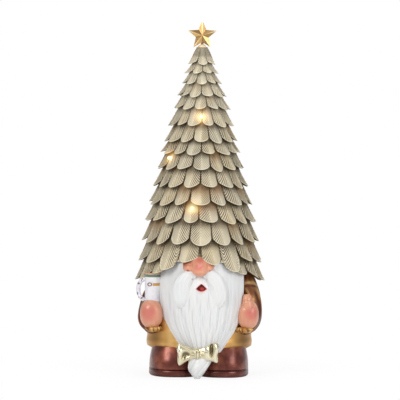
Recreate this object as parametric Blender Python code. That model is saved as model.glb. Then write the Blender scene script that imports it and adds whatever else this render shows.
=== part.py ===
"""Christmas gnome figure: a hollow painted casting with a hat of tree leaves, a star and lights.

Metres, +Z up. The figure looks along -Y. The origin is on the floor, under the axis of the hat.
"""

import math

import bmesh
import bpy
import numpy as np
from mathutils import Matrix, Vector

# Gap left between pieces that touch
SEAT_GAP = 0.0003
# Points closer than this are one point
SPECK = 0.00001

# From the floor to the star's point
FIGURE_HEIGHT = 0.4000

# Hat: rows of leaves on a cone that bulges a little
TOP_ROW_RADIUS = 0.0158
BRIM_Z = 0.1042
BRIM_RADIUS = 0.0733
HAT_BULGE = 0.0060
# Share of the way from the top row down to the brim, for each row of leaf tips
ROW_SHARES = (
    0.0, 0.040, 0.090, 0.147, 0.205, 0.282, 0.353, 0.407, 0.480, 0.560, 0.639, 0.718, 0.813, 0.899, 1.0,
)
HAT_ROWS = len(ROW_SHARES)
HAT_TIP_HEIGHT = 0.0190
HAT_TIP_RADIUS = 0.0062
HAT_TIP_DOME = 0.50
TOP_LEAF_WIDTH = 0.0140
BRIM_LEAF_WIDTH = 0.0270
LEAF_THICKNESS = 0.0018
TOP_OVERHANG = 0.0045
BRIM_OVERHANG = 0.0065
LEAF_RIDGE = 0.0021
# Shares of a row's height: how far a notch runs up, and where the next row's leaves start
LEAF_NOTCH = 0.76
LEAF_ROOT = 0.85
# Corner of a leaf's edge: share of its half width, and share of the notch's height
LEAF_CORNER = 0.74
LEAF_CORNER_RISE = 0.17
BRIM_UNDERCUT = 0.0100
BRIM_CEILING = 0.0200
HEAD_TOP_Z = 0.1480
# Height by which the brim row rises towards the face, at angles from the front in degrees
LIFT_ANGLES = (0.0, 20.0, 30.0, 50.0, 80.0, 180.0)
LIFT_HEIGHTS = (0.0270, 0.0200, 0.0160, 0.0115, 0.0015, 0.0)
LIFT_TUCK = 0.0045

# Star on its peg
STAR_RADIUS = 0.0171
STAR_WAIST = 0.0076
STAR_DEPTH = 0.0085
STAR_RIM = 0.0022
STAR_CLEARANCE = 0.0058
PEG_RADIUS = 0.0016
PEG_DEPTH = 0.0110
# Tips of the top row, under the cone's tip and the star
TOP_ROW_Z = FIGURE_HEIGHT - STAR_RADIUS - STAR_WAIST - STAR_CLEARANCE - HAT_TIP_HEIGHT

# Tunic, an oval barrel with a flared hem, set in from the brim
HEM_Z = 0.0304
TUNIC_SIDE_INSET = 0.0141
TUNIC_FRONT_INSET = 0.0213
TUNIC_HALF_WIDTH = BRIM_RADIUS - TUNIC_SIDE_INSET
TUNIC_HALF_DEPTH = BRIM_RADIUS - TUNIC_FRONT_INSET
HEM_FLARE = 0.0003
HEM_ROLL = 0.0034
TUNIC_ROUNDNESS = 2.3
TUNIC_TOP_SHARE = 0.64

# Boots that merge under the tunic
BOOT_X = 0.0262
BOOT_Y = -0.0085
BOOT_HALF_WIDTH = 0.0300
BOOT_HALF_LENGTH = 0.0475
BOOT_SQUARENESS = 2.6
SOLE_HEIGHT = 0.0070
WELT_GROOVE = 0.0009

# Sleeves, cuffs and hands, placed from the tunic's sides
ARM_X = TUNIC_HALF_WIDTH - 0.0037
SLEEVE_RADIUS = 0.0150
# Each stop of a sleeve: inset from the arm's line, shares of the hand's reach and of the rise
# from the cuff to the brim, then shares of the radius across and front to back
SLEEVE_STOPS = (
    (0.0090, 0.20, 1.21, 0.80, 0.85),
    (0.0035, 0.30, 0.88, 0.92, 1.00),
    (0.0005, 0.43, 0.58, 1.00, 1.06),
    (0.0005, 0.58, 0.25, 0.98, 0.98),
    (0.0040, 0.75, 0.10, 0.80, 0.76),
    (0.0060, 0.93, 0.06, 0.54, 0.50),
)
CUFF_Z = 0.0530
CUFF_RADIUS = 0.0102
CUFF_HEIGHT = 0.0064
CUFF_GATHERS = 10
CUFF_RIPPLE = 0.05
# Each ring of a cuff: shares of its height, radius and ripple
CUFF_RINGS = ((0.0, 0.70, 0.3), (0.35, 0.95, 1.0), (0.75, 1.02, 1.0), (1.0, 0.86, 0.4))
HAND_X = ARM_X - 0.0018
HAND_Y = 0.0120 - TUNIC_HALF_DEPTH
HAND_Z = 0.0703
HAND_HALF_WIDTH = 0.0130
HAND_HALF_DEPTH = 0.0120
HAND_HALF_HEIGHT = 0.0164
HAND_SQUARENESS = 2.25
CUFF_X = HAND_X - 0.0030
THUMB_RADIUS = 0.0048
THUMB_RISE = 0.0085

# Mug in the hand at -X
MUG_X = 0.0015 - HAND_X
MUG_Y = HAND_Y + 0.0040
MUG_RADIUS = 0.0098
MUG_TOP_Z = 0.1165
MUG_HEIGHT = 0.0370
MUG_WALL = 0.0013
# Shares of the mug's height: the handle's middle below the top, and half its height
MUG_HANDLE_DROP = 0.52
MUG_HANDLE_RISE = 0.32
MUG_HANDLE_REACH = 0.0080
MUG_HANDLE_RADIUS = 0.0019

# Beard, from its top edge to the knot, set back from the brim, with the tuft under the bow
BEARD_X = 0.0020
BEARD_LEAN = 0.0022
BEARD_TOP_Z = 0.1385
BEARD_KNOT_Z = 0.0285
BEARD_FRONT = BRIM_RADIUS - 0.0043
BEARD_HALF_WIDTH = 0.0472
BEARD_EDGE_BACK = 0.0270
BEARD_STRANDS = 9
STRAND_DEPTH = 0.0011
# Shares of the half width and of the front at stops from the top edge at 0 to the knot at 1
BEARD_WIDTH_STOPS = (0.0, 0.20, 0.41, 0.58, 0.72, 0.83, 0.92, 1.0)
BEARD_WIDTHS = (0.94, 1.0, 1.0, 0.96, 0.86, 0.71, 0.56, 0.42)
BEARD_FRONT_STOPS = (0.0, 0.10, 0.22, 0.45, 0.72, 1.0)
BEARD_FRONTS = (0.86, 0.92, 0.965, 1.0, 0.985, 0.955)
TUFT_HALF_WIDTH = 0.0124
TUFT_HALF_DEPTH = 0.0075
TUFT_INSET = 0.0035
# Each ring of the tuft: height, place along X, shares of its width and depth, and set-back
TUFT_RINGS = (
    (0.0, -0.0018, 0.30, 0.50, 0.0),
    (0.0030, -0.0018, 0.50, 0.78, 0.0),
    (0.0100, -0.0012, 0.80, 1.0, 0.0),
    (0.0190, 0.0010, 1.0, 0.95, 0.0010),
    (BEARD_KNOT_Z, 0.0020, 1.05, 0.75, 0.0015),
)
MOUSTACHE_HALF_WIDTH = 0.0095
MOUSTACHE_HALF_DEPTH = 0.0052
MOUSTACHE_SPREAD = 0.0205
MOUSTACHE_LENGTH = 0.0350
# Each stop of a moustache lobe: shares of the spread and of the drop below the nose, set-back,
# then shares of the half width and the half depth
MOUSTACHE_STOPS = (
    (0.20, -0.06, 0.0, 0.32, 0.45),
    (0.54, -0.06, 0.0, 0.70, 0.80),
    (0.88, 0.17, 0.0005, 0.96, 1.00),
    (1.00, 0.49, 0.0010, 1.00, 0.95),
    (0.93, 0.77, 0.0005, 0.78, 0.72),
    (0.76, 1.00, 0.0005, 0.18, 0.25),
)

# Face
NOSE_Z = 0.1255
NOSE_FRONT = BEARD_FRONT + 0.0095
NOSE_HALF_WIDTH = 0.0100
NOSE_HALF_HEIGHT = 0.0115
NOSE_HALF_DEPTH = 0.0150
NOSE_LEAN = 0.0075
CHEEK_X = 0.0104
CHEEK_DROP = 0.0020
CHEEK_RADIUS = 0.0062
MOUTH_X = 0.0019
MOUTH_DROP = 0.0236
MOUTH_HALF_WIDTH = 0.0060
MOUTH_HEIGHT = 0.0080
MOUTH_DEPTH = 0.0050
# Size of the opening at its back and in front of the beard, and how far the cutter reaches out
MOUTH_BACK_SIZE = 0.6
MOUTH_FRONT_SIZE = 1.4
MOUTH_REACH = 0.0100

# Bow
BOW_X = -0.0012
BOW_HALF_WIDTH = 0.0227
BOW_LOOP_HALF_HEIGHT = 0.0119
BOW_KNOT_RADIUS = 0.0050
BOW_KNOT_SQUARENESS = 2.6
BOW_HALF_DEPTH = 0.0046
BOW_FRONT = BEARD_FRONT + 0.0042
# Each section of a loop from the knot out: shares of its width, height and depth
BOW_LOOP_SECTIONS = (
    (0.06, 0.40, 0.75),
    (0.35, 0.62, 0.90),
    (0.72, 0.95, 1.0),
    (0.93, 1.0, 0.85),
    (1.0, 0.86, 0.35),
)

# Hollow inside the casting
CASTING_WALL = 0.0045
HOLLOW_FLOOR_Z = 0.0270
HOLLOW_SHOULDER = 0.0260
HOLLOW_TOP_RADIUS = 0.0050

# Lights: row of leaves that each hangs under, counted from 0 at the top, angle from the front
# in degrees, and drop below the leaf tips
LIGHT_ROWS = (4, 7, 10, 5, 8, 9, 12)
LIGHT_ANGLES = (0.0, -56.0, -10.0, 170.0, 118.0, -130.0, 155.0)
LIGHT_DROPS = (0.0078, 0.0052, 0.0028, 0.0036, 0.0036, 0.0036, 0.0036)
LAMP_RADIUS = 0.0016
LAMP_REACH = 0.0026
LAMP_FLANGE = 0.0010
LAMP_FLANGE_RADIUS = 0.0024
WIRE_RADIUS = 0.0006

# Battery cells
CELL_LENGTH = 0.0505
CELL_RADIUS = 0.00725
NUB_LENGTH = 0.0012
NUB_RADIUS = 0.0027
CELL_GAP = 0.0005
SPRING_LENGTH = 0.0045
SPRING_WIRE = 0.00035
SPRING_TURNS = 3
CONTACT_THICKNESS = 0.0004
CONTACT_SIZE = 0.0090

# Battery box, its door and the screw
BOX_WALL = 0.0015
PLATE_Z = 0.0018
PLATE_THICKNESS = 0.0016
PLATE_MARGIN = 0.0033
DOOR_THICKNESS = 0.0014
DOOR_LAP = 0.0009
SCREW_BLOCK = 0.0060
SCREW_RADIUS = 0.0009
SCREW_LENGTH = 0.0065
SCREW_HEAD_RADIUS = 0.0019
SCREW_HEAD_HEIGHT = 0.0011

# Slide switch
SWITCH_BAY = 0.0075
SWITCH_TRAVEL = 0.0030
SWITCH_LENGTH = 0.0100
SWITCH_WIDTH = 0.0056
SWITCH_HEIGHT = 0.0050
CARRIAGE_LENGTH = 0.0048
CARRIAGE_WIDTH = 0.0030
CARRIAGE_HEIGHT = 0.0016
KNOB_LENGTH = 0.0024
KNOB_WIDTH = 0.0020
KNOB_BELOW_PLATE = 0.0010

# Facets
BODY_POINTS = 24
ROUND_POINTS = 14
SMALL_POINTS = 12


def clear_scene():
    for thing in list(bpy.data.objects):
        bpy.data.objects.remove(thing)


def paint(name, colour, roughness, metallic=0.0):
    """One Principled material."""
    material = bpy.data.materials.new(name)
    material.use_nodes = True
    shader = material.node_tree.nodes["Principled BSDF"]
    shader.inputs["Base Color"].default_value = (*colour, 1.0)
    shader.inputs["Roughness"].default_value = roughness
    shader.inputs["Metallic"].default_value = metallic
    return material


def make_object(name, points, faces, material=None):
    """A mesh object with its faces turned outwards."""
    mesh = bpy.data.meshes.new(name)
    mesh.from_pydata([tuple(p) for p in points], [], [tuple(f) for f in faces])
    work = bmesh.new()
    work.from_mesh(mesh)
    bmesh.ops.remove_doubles(work, verts=work.verts, dist=SPECK)
    bmesh.ops.triangulate(work, faces=work.faces)
    bmesh.ops.recalc_face_normals(work, faces=work.faces)
    work.to_mesh(mesh)
    work.free()
    thing = bpy.data.objects.new(name, mesh)
    bpy.context.scene.collection.objects.link(thing)
    if material:
        mesh.materials.append(material)
    return thing


def smooth(thing, angle=40.0):
    """Round pieces are shaded smooth, with their sharp edges kept."""
    thing.data.shade_smooth()
    thing.data.set_sharp_from_angle(angle=math.radians(angle))
    return thing


def shells(work):
    """Lists of connected points, the largest first."""
    waiting, found = set(work.verts), []
    while waiting:
        reached = [waiting.pop()]
        shell = list(reached)
        while reached:
            point = reached.pop()
            near = {edge.other_vert(point) for edge in point.link_edges} & waiting
            waiting -= near
            reached += near
            shell += near
        found.append(shell)
    return sorted(found, key=len, reverse=True)


def cleaned(mesh):
    """The mesh without needles, specks and the small sealed pockets between joined shapes."""
    work = bmesh.new()
    work.from_mesh(mesh)
    bmesh.ops.remove_doubles(work, verts=work.verts, dist=SPECK)
    bmesh.ops.dissolve_degenerate(work, edges=work.edges, dist=SPECK)
    for shell in shells(work)[1:]:
        bmesh.ops.delete(work, geom=shell, context="VERTS")
    bmesh.ops.triangulate(work, faces=work.faces)
    work.to_mesh(mesh)
    work.free()
    return mesh


def boolean(target, others, operation):
    """Joins or cuts with the exact solver, all in one step, and removes the other objects."""
    group = bpy.data.collections.new("operands")
    for other in others:
        group.objects.link(other)
    change = target.modifiers.new(operation.lower(), "BOOLEAN")
    change.operation = operation
    change.solver = "EXACT"
    change.operand_type = "COLLECTION"
    change.collection = group
    bpy.context.view_layer.update()
    graph = bpy.context.evaluated_depsgraph_get()
    made = bpy.data.meshes.new_from_object(target.evaluated_get(graph))
    target.modifiers.remove(change)
    target.data = cleaned(made)
    for other in others:
        bpy.data.objects.remove(other)
    bpy.data.collections.remove(group)
    return target


def ring_faces(first, second, count):
    """Quads between two closed rings of the same count, given their first indices."""
    steps = [(i, (i + 1) % count) for i in range(count)]
    return [(first + i, first + j, second + j, second + i) for i, j in steps]


def loft(name, rings, material=None):
    """A closed solid through rings of equal count, each end closed by one face."""
    count = len(rings[0])
    points = [p for ring in rings for p in ring]
    faces = []
    for level in range(len(rings) - 1):
        faces += ring_faces(level * count, (level + 1) * count, count)
    faces.append(tuple(range(count)))
    faces.append(tuple(range(len(points) - count, len(points))))
    return make_object(name, points, faces, material)


def oval(x, y, z, half_x, half_y, count, squareness=2.0):
    """A level superellipse ring."""
    angles = np.arange(count) * 2 * math.pi / count
    cos, sin = np.cos(angles), np.sin(angles)
    ring_x = x + half_x * np.sign(cos) * np.abs(cos) ** (2 / squareness)
    ring_y = y + half_y * np.sign(sin) * np.abs(sin) ** (2 / squareness)
    return np.column_stack([ring_x, ring_y, np.full(count, z)])


def turned(name, profile, count, centre=(0.0, 0.0), material=None):
    """A solid of revolution about +Z from (radius, z) pairs, with flat ends."""
    rings = [oval(*centre, z, radius, radius, count) for radius, z in profile]
    return loft(name, rings, material)


def ellipsoid(name, centre, halves, count=ROUND_POINTS, levels=6, squareness=2.0):
    """A round blob from level rings, flattened at its poles."""
    rings = []
    for level in range(levels + 1):
        tilt = math.radians(-78 + 156 * level / levels)
        shrink = math.cos(tilt)
        rings.append(
            oval(
                centre[0],
                centre[1],
                centre[2] + halves[2] * math.sin(tilt) / math.sin(math.radians(78)),
                halves[0] * shrink,
                halves[1] * shrink,
                count,
                squareness,
            )
        )
    return loft(name, rings)


def swept(name, path, half_widths, half_depths, count=SMALL_POINTS):
    """A limb along a path: each ring lies across the path, wider in the first direction."""
    path = np.array(path, float)
    rings = []
    for index, point in enumerate(path):
        before = path[max(index - 1, 0)]
        after = path[min(index + 1, len(path) - 1)]
        along = Vector(after - before).normalized()
        side = Vector((0.0, -1.0, 0.0)).cross(along).normalized()
        front = along.cross(side)
        angles = np.arange(count) * 2 * math.pi / count
        across = np.outer(np.cos(angles) * half_widths[index], np.array(side))
        deep = np.outer(np.sin(angles) * half_depths[index], np.array(front))
        rings.append(point + across + deep)
    return loft(name, rings)


def block(name, low, high, material=None, corner=0.0):
    """A box between two corners, its upright edges rounded by a radius."""
    if corner <= 0:
        flat = [(low[0], low[1]), (high[0], low[1]), (high[0], high[1]), (low[0], high[1])]
    else:
        flat = []
        centres = [
            (high[0] - corner, high[1] - corner, 0),
            (low[0] + corner, high[1] - corner, 90),
            (low[0] + corner, low[1] + corner, 180),
            (high[0] - corner, low[1] + corner, 270),
        ]
        for x, y, start in centres:
            for step in range(4):
                angle = math.radians(start + 30 * step)
                flat.append((x + corner * math.cos(angle), y + corner * math.sin(angle)))
    rings = [np.array([(x, y, z) for x, y in flat]) for z in (low[2], high[2])]
    return loft(name, rings, material)


# Hat


def hat_tip_z():
    return TOP_ROW_Z + HAT_TIP_HEIGHT


def row_z(row):
    return TOP_ROW_Z - (TOP_ROW_Z - BRIM_Z) * ROW_SHARES[row]


def row_pitch(row):
    """Height of a row that shows under the one above it; the top row counts like the next."""
    row = max(row, 1)
    return row_z(row - 1) - row_z(row)


def hat_radius(z):
    """Radius of the leaf tips at a height: a straight cone with a parabolic bulge."""
    share = (TOP_ROW_Z - z) / (TOP_ROW_Z - BRIM_Z)
    straight = TOP_ROW_RADIUS + (BRIM_RADIUS - TOP_ROW_RADIUS) * share
    return straight + 4 * HAT_BULGE * share * (1 - share)


def overhang(row):
    return TOP_OVERHANG + (BRIM_OVERHANG - TOP_OVERHANG) * ROW_SHARES[row]


def leaf_slope(row):
    """Run of a leaf's face for each unit of drop."""
    if row == 0:
        return (TOP_ROW_RADIUS - HAT_TIP_RADIUS) / HAT_TIP_HEIGHT
    gained = hat_radius(row_z(row)) - hat_radius(row_z(row - 1))
    return (gained + overhang(row - 1)) / row_pitch(row)


def leaf_count(row):
    width = TOP_LEAF_WIDTH + (BRIM_LEAF_WIDTH - TOP_LEAF_WIDTH) * ROW_SHARES[row]
    return round(2 * math.pi * hat_radius(row_z(row)) / width)


def row_angles(row, places):
    """Angles round a row at the same places of each leaf, given from -1 in a notch to 1.

    Every second row has a leaf facing front.
    """
    count = leaf_count(row)
    middle = np.arange(count) * 2 * math.pi / count
    if row % 2:
        middle = middle + math.pi / count
    return (middle[:, None] + np.array(places) * math.pi / count).ravel()


def brim_lift(row, angles):
    """Rise of the brim row towards the face."""
    if row < HAT_ROWS - 1:
        return np.zeros(len(angles))
    turn = np.degrees(np.abs((angles + math.pi) % (2 * math.pi) - math.pi))
    return np.interp(turn, LIFT_ANGLES, LIFT_HEIGHTS)


def at_angle(angles, radii, heights):
    """Points round the hat's axis; angle 0 is the front, at -Y."""
    return np.column_stack([radii * np.sin(angles), -radii * np.cos(angles), heights])


def leaf_ring(row, inward):
    """The scalloped edge of a row: notch, corner, tip, corner for each leaf."""
    angles = row_angles(row, (-1.0, -LEAF_CORNER, 0.0, LEAF_CORNER))
    scallop = np.tile([1.0, LEAF_CORNER_RISE, 0.0, LEAF_CORNER_RISE], leaf_count(row))
    hollow = np.tile([1.0, LEAF_CORNER**2, 0.0, LEAF_CORNER**2], leaf_count(row))
    lift = brim_lift(row, angles)
    notch = LEAF_NOTCH * np.maximum(row_pitch(row) - lift, 0.12 * row_pitch(row))
    heights = row_z(row) + lift + scallop * notch
    tuck = LIFT_TUCK * lift / max(LIFT_HEIGHTS)
    tips = hat_radius(row_z(row) + lift) - tuck - LEAF_RIDGE * hollow
    radii = tips - leaf_slope(row) * scallop * notch - inward
    return angles, at_angle(angles, radii, heights + inward * 0.25)


def root_ring(row):
    """The upper edge of a row, hidden behind the row above."""
    angles = row_angles(row, (-1.0, 0.0))
    hollow = np.tile([1.0, 0.0], leaf_count(row))
    if row == 0:
        radius, height = HAT_TIP_RADIUS, hat_tip_z()
        hollow = hollow * 0.0
    else:
        above = LEAF_ROOT * row_pitch(row - 1)
        height = row_z(row - 1) + above
        steepness = min(leaf_slope(row - 1), leaf_slope(row))
        radius = hat_radius(row_z(row - 1)) - overhang(row - 1) - steepness * above
    radii = np.full(len(angles), radius) - LEAF_RIDGE * hollow * 0.5
    return angles, at_angle(angles, radii, np.full(len(angles), height))


def brim_ring():
    """Where the underside of the brim meets the head."""
    angles = row_angles(HAT_ROWS - 1, (-1.0, 0.0))
    lift = brim_lift(HAT_ROWS - 1, angles)
    radii = hat_radius(row_z(HAT_ROWS - 1) + lift) - 2 * BRIM_UNDERCUT
    heights = row_z(HAT_ROWS - 1) + lift + BRIM_UNDERCUT
    return angles, at_angle(angles, radii, heights)


def stitch(first_angles, first_start, second_angles, second_start):
    """Triangles between two rings of different counts, always taking the nearer next point."""
    turn = 2 * math.pi
    shift = round((first_angles[0] - second_angles[0]) / turn) * turn
    one = np.append(first_angles, first_angles[0] + turn)
    two = np.append(second_angles, second_angles[0] + turn) + shift
    faces, i, j = [], 0, 0
    while i < len(first_angles) or j < len(second_angles):
        here = (first_start + i % len(first_angles), second_start + j % len(second_angles))
        step_first = j == len(second_angles) or (i < len(first_angles) and one[i + 1] <= two[j + 1])
        if step_first:
            i += 1
            faces.append((*here, first_start + i % len(first_angles)))
        else:
            j += 1
            faces.append((*here, second_start + j % len(second_angles)))
    return faces


def make_hat():
    """The leaf rows as one closed skin, from the tip down, under each row and on to the next."""
    rings = []
    for row in range(HAT_ROWS):
        rings.append(root_ring(row))
        rings.append(leaf_ring(row, 0.0))
        rings.append(leaf_ring(row, LEAF_THICKNESS))
    rings.append(brim_ring())
    points, starts, faces = [], [], []
    for _, ring in rings:
        starts.append(len(points))
        points.extend(ring)
    for index in range(len(rings) - 1):
        faces += stitch(rings[index][0], starts[index], rings[index + 1][0], starts[index + 1])
    apex = hat_tip_z() + HAT_TIP_RADIUS * HAT_TIP_DOME
    for index, height in ((0, apex), (-1, BRIM_Z + BRIM_CEILING)):
        start, count = starts[index], len(rings[index][1])
        points.append((0.0, 0.0, height))
        faces += [(start + i, start + (i + 1) % count, len(points) - 1) for i in range(count)]
    return make_object("hat", points, faces)


# Body


def make_tunic():
    """Oval barrel, flared at its hem; its top is hidden in the hat."""
    hem_width = TUNIC_HALF_WIDTH + HEM_FLARE
    hem_depth = TUNIC_HALF_DEPTH + HEM_FLARE
    shoulder_z = BRIM_Z + 0.005
    levels = [
        (HEM_Z, hem_width - HEM_ROLL, hem_depth - HEM_ROLL),
        (HEM_Z + HEM_ROLL * 0.4, hem_width - HEM_ROLL * 0.3, hem_depth - HEM_ROLL * 0.3),
        (HEM_Z + HEM_ROLL * 1.3, hem_width, hem_depth),
        (HEM_Z + HEM_ROLL * 4, TUNIC_HALF_WIDTH - HEM_FLARE, TUNIC_HALF_DEPTH - HEM_FLARE),
        ((HEM_Z + shoulder_z) / 2, TUNIC_HALF_WIDTH, TUNIC_HALF_DEPTH),
        (shoulder_z, TUNIC_HALF_WIDTH * 0.93, TUNIC_HALF_DEPTH * 0.97),
        (HEAD_TOP_Z, BRIM_RADIUS * TUNIC_TOP_SHARE, BRIM_RADIUS * TUNIC_TOP_SHARE),
    ]
    rings = [oval(0, 0, z, a, b, BODY_POINTS, TUNIC_ROUNDNESS) for z, a, b in levels]
    return loft("tunic", rings)


def make_boot(side):
    """Domed boot on a welted sole; the two boots merge on the middle line."""
    wide, long = BOOT_HALF_WIDTH, BOOT_HALF_LENGTH
    upper = HEM_Z - SOLE_HEIGHT
    levels = [
        (0.0, wide - 0.0012, long - 0.0012),
        (0.0014, wide, long),
        (SOLE_HEIGHT, wide, long),
        (SOLE_HEIGHT + 0.0008, wide - WELT_GROOVE, long - WELT_GROOVE),
        (SOLE_HEIGHT + 0.0018, wide - 0.0002, long - 0.0002),
        (SOLE_HEIGHT + upper * 0.45, wide * 0.975, long * 0.975),
        (SOLE_HEIGHT + upper * 0.75, wide * 0.93, long * 0.925),
        (HEM_Z + 0.0030, wide * 0.85, long * 0.82),
    ]
    rings = [
        oval(side * (BOOT_X + (wide - a) * 0.2), BOOT_Y, z, a, b, BODY_POINTS, BOOT_SQUARENESS)
        for z, a, b in levels
    ]
    return loft("boot", rings)


def make_sleeve(side):
    """From the shoulder under the brim, out to the elbow and in to the cuff."""
    path, widths, depths = [], [], []
    for inset, reach, rise, wide, deep in SLEEVE_STOPS:
        path.append((side * (ARM_X - inset), HAND_Y * reach, CUFF_Z + (BRIM_Z - CUFF_Z) * rise))
        widths.append(SLEEVE_RADIUS * wide)
        depths.append(SLEEVE_RADIUS * deep)
    return swept("sleeve", path, widths, depths, SMALL_POINTS)


def make_cuff(side):
    """Gathered cuff under the fist, its rim rippled by the gathers."""
    count = 2 * CUFF_GATHERS
    ripple = CUFF_RIPPLE * np.tile([1.0, -1.0], CUFF_GATHERS)
    rings = []
    for share, flare, wave in CUFF_RINGS:
        ring = oval(0, 0, CUFF_Z - CUFF_HEIGHT / 2 + CUFF_HEIGHT * share, 1, 1, count)
        spread = CUFF_RADIUS * flare * (1 + ripple * wave)
        ring[:, 0] = side * CUFF_X + ring[:, 0] * spread
        ring[:, 1] = HAND_Y + ring[:, 1] * spread * 0.92
        rings.append(ring)
    return loft("cuff", rings)


def make_fist(side):
    centre = (side * HAND_X, HAND_Y, HAND_Z)
    halves = (HAND_HALF_WIDTH, HAND_HALF_DEPTH, HAND_HALF_HEIGHT)
    return ellipsoid("fist", centre, halves, ROUND_POINTS, 6, HAND_SQUARENESS)


def make_thumb(side):
    """Thumb standing up from the front of the fist, leaning to the beard."""
    x = side * HAND_X
    top = HAND_Z + HAND_HALF_HEIGHT + THUMB_RISE - THUMB_RADIUS / 2
    path = [
        (x + side * 0.0020, HAND_Y - THUMB_RADIUS, HAND_Z + 0.0040),
        (x + side * 0.0010, HAND_Y - THUMB_RADIUS * 1.15, HAND_Z + HAND_HALF_HEIGHT * 0.6),
        (x - side * 0.0006, HAND_Y - THUMB_RADIUS, top - THUMB_RADIUS),
        (x - side * 0.0012, HAND_Y - THUMB_RADIUS * 0.9, top),
    ]
    widths = [THUMB_RADIUS * share for share in (1.2, 1.2, 1.1, 0.6)]
    return swept("thumb", path, widths, widths, 10)


def make_mug():
    """Mug with a drink in it and a handle on its outer side."""
    bottom = MUG_TOP_Z - MUG_HEIGHT
    centre = (MUG_X, MUG_Y)
    profile = [
        (MUG_RADIUS * 0.90, bottom),
        (MUG_RADIUS * 0.96, bottom + MUG_HEIGHT * 0.3),
        (MUG_RADIUS, MUG_TOP_Z - 0.0008),
        (MUG_RADIUS - 0.0004, MUG_TOP_Z),
    ]
    cup = turned("mug", profile, ROUND_POINTS, centre)
    inner = MUG_RADIUS - MUG_WALL
    drink = turned("drink", [(inner, MUG_TOP_Z - 0.0024), (inner, MUG_TOP_Z + 0.002)], ROUND_POINTS, centre)
    boolean(cup, [drink], "DIFFERENCE")
    middle = MUG_TOP_Z - MUG_HEIGHT * MUG_HANDLE_DROP
    rise = MUG_HEIGHT * MUG_HANDLE_RISE
    path = []
    for step in range(7):
        angle = math.radians(-90 + 30 * step)
        outward = MUG_RADIUS - 0.0010 + MUG_HANDLE_REACH * math.cos(angle)
        path.append((MUG_X - outward, MUG_Y, middle + rise * math.sin(angle)))
    radii = [MUG_HANDLE_RADIUS] * len(path)
    handle = swept("handle", path, radii, radii, 8)
    return boolean(cup, [handle], "UNION")


# Face


def make_nose():
    """Round tip; the bridge above it leans back under the hat."""
    centre = (0.0, -(NOSE_FRONT - NOSE_HALF_DEPTH), NOSE_Z)
    halves = (NOSE_HALF_WIDTH, NOSE_HALF_DEPTH, NOSE_HALF_HEIGHT)
    nose = ellipsoid("nose", centre, halves, ROUND_POINTS, 6)
    for point in nose.data.vertices:
        point.co.y += NOSE_LEAN * max(0.0, (point.co.z - NOSE_Z) / NOSE_HALF_HEIGHT)
    return nose


def make_cheek(side):
    centre = (side * CHEEK_X, -(NOSE_FRONT - NOSE_HALF_DEPTH + 0.0010), NOSE_Z - CHEEK_DROP)
    halves = (CHEEK_RADIUS, CHEEK_RADIUS * 1.30, CHEEK_RADIUS)
    return ellipsoid("cheek", centre, halves, 10, 4)


def beard_half_width(share):
    """Half width of the beard, from its top edge at 0 to the knot at 1."""
    return BEARD_HALF_WIDTH * np.interp(share, BEARD_WIDTH_STOPS, BEARD_WIDTHS)


def beard_front(share):
    """How far the middle of the beard stands in front of the axis."""
    return BEARD_FRONT * np.interp(share, BEARD_FRONT_STOPS, BEARD_FRONTS)


def make_beard():
    """Shield of strands that gather towards the knot, with a flat back inside the tunic."""
    columns, rows = 2 * BEARD_STRANDS, 8
    across = np.linspace(-1, 1, columns + 1)
    ridge = STRAND_DEPTH * np.where(np.arange(columns + 1) % 2 == 0, -1.0, 1.0)
    points, faces = [], []
    for row in range(rows + 1):
        share = row / rows
        z = BEARD_TOP_Z - (BEARD_TOP_Z - BEARD_KNOT_Z) * share
        half = float(beard_half_width(share))
        fall = min(BEARD_EDGE_BACK, 0.62 * half) * np.abs(across) ** 2.3
        depth = float(beard_front(share)) - fall + ridge * min(1.0, 4 * share)
        middle = BEARD_X + BEARD_LEAN * share**2
        points += [(middle + x, -y, z) for x, y in zip(across * half, depth)]
    for row in range(rows):
        for column in range(columns):
            at = row * (columns + 1) + column
            faces.append((at, at + 1, at + columns + 2, at + columns + 1))
    rim = list(range(columns + 1))
    rim += [row * (columns + 1) + columns for row in range(1, rows + 1)]
    rim += [rows * (columns + 1) + column for column in range(columns - 1, -1, -1)]
    rim += [row * (columns + 1) for row in range(rows - 1, 0, -1)]
    back = len(points)
    inside = BEARD_FRONT - BEARD_EDGE_BACK - 0.020
    points += [(points[i][0] * 0.8, -inside, points[i][2]) for i in rim]
    count = len(rim)
    for i in range(count):
        j = (i + 1) % count
        faces.append((rim[i], rim[j], back + j, back + i))
    faces.append(tuple(range(back, back + count)))
    return make_object("beard", points, faces)


def make_moustache(side):
    """Lobe that leaves the nose and droops beside the mouth."""
    front = BEARD_FRONT - 0.0010
    under = NOSE_Z - NOSE_HALF_HEIGHT
    path, widths, depths = [], [], []
    for spread, drop, back, wide, deep in MOUSTACHE_STOPS:
        path.append((side * MOUSTACHE_SPREAD * spread, back - front, under - MOUSTACHE_LENGTH * drop))
        widths.append(MOUSTACHE_HALF_WIDTH * wide)
        depths.append(MOUSTACHE_HALF_DEPTH * deep)
    return swept("moustache", path, widths, depths, 10)


def make_mouth():
    """Cutter for the open mouth: a low triangle with round corners."""
    z = NOSE_Z - MOUTH_DROP
    corner = MOUTH_HALF_WIDTH
    flat = [
        (-corner, z - MOUTH_HEIGHT * 0.35),
        (0.0, z - MOUTH_HEIGHT * 0.50),
        (corner, z - MOUTH_HEIGHT * 0.35),
        (corner * 0.45, z + MOUTH_HEIGHT * 0.25),
        (0.0, z + MOUTH_HEIGHT * 0.50),
        (-corner * 0.45, z + MOUTH_HEIGHT * 0.25),
    ]
    rings = []
    ends = ((BEARD_FRONT - MOUTH_DEPTH, MOUTH_BACK_SIZE), (BEARD_FRONT + MOUTH_REACH, MOUTH_FRONT_SIZE))
    for depth, size in ends:
        rings.append(np.array([(MOUTH_X + x * size, -depth, z + (h - z) * size) for x, h in flat]))
    return loft("mouth", rings)


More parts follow.
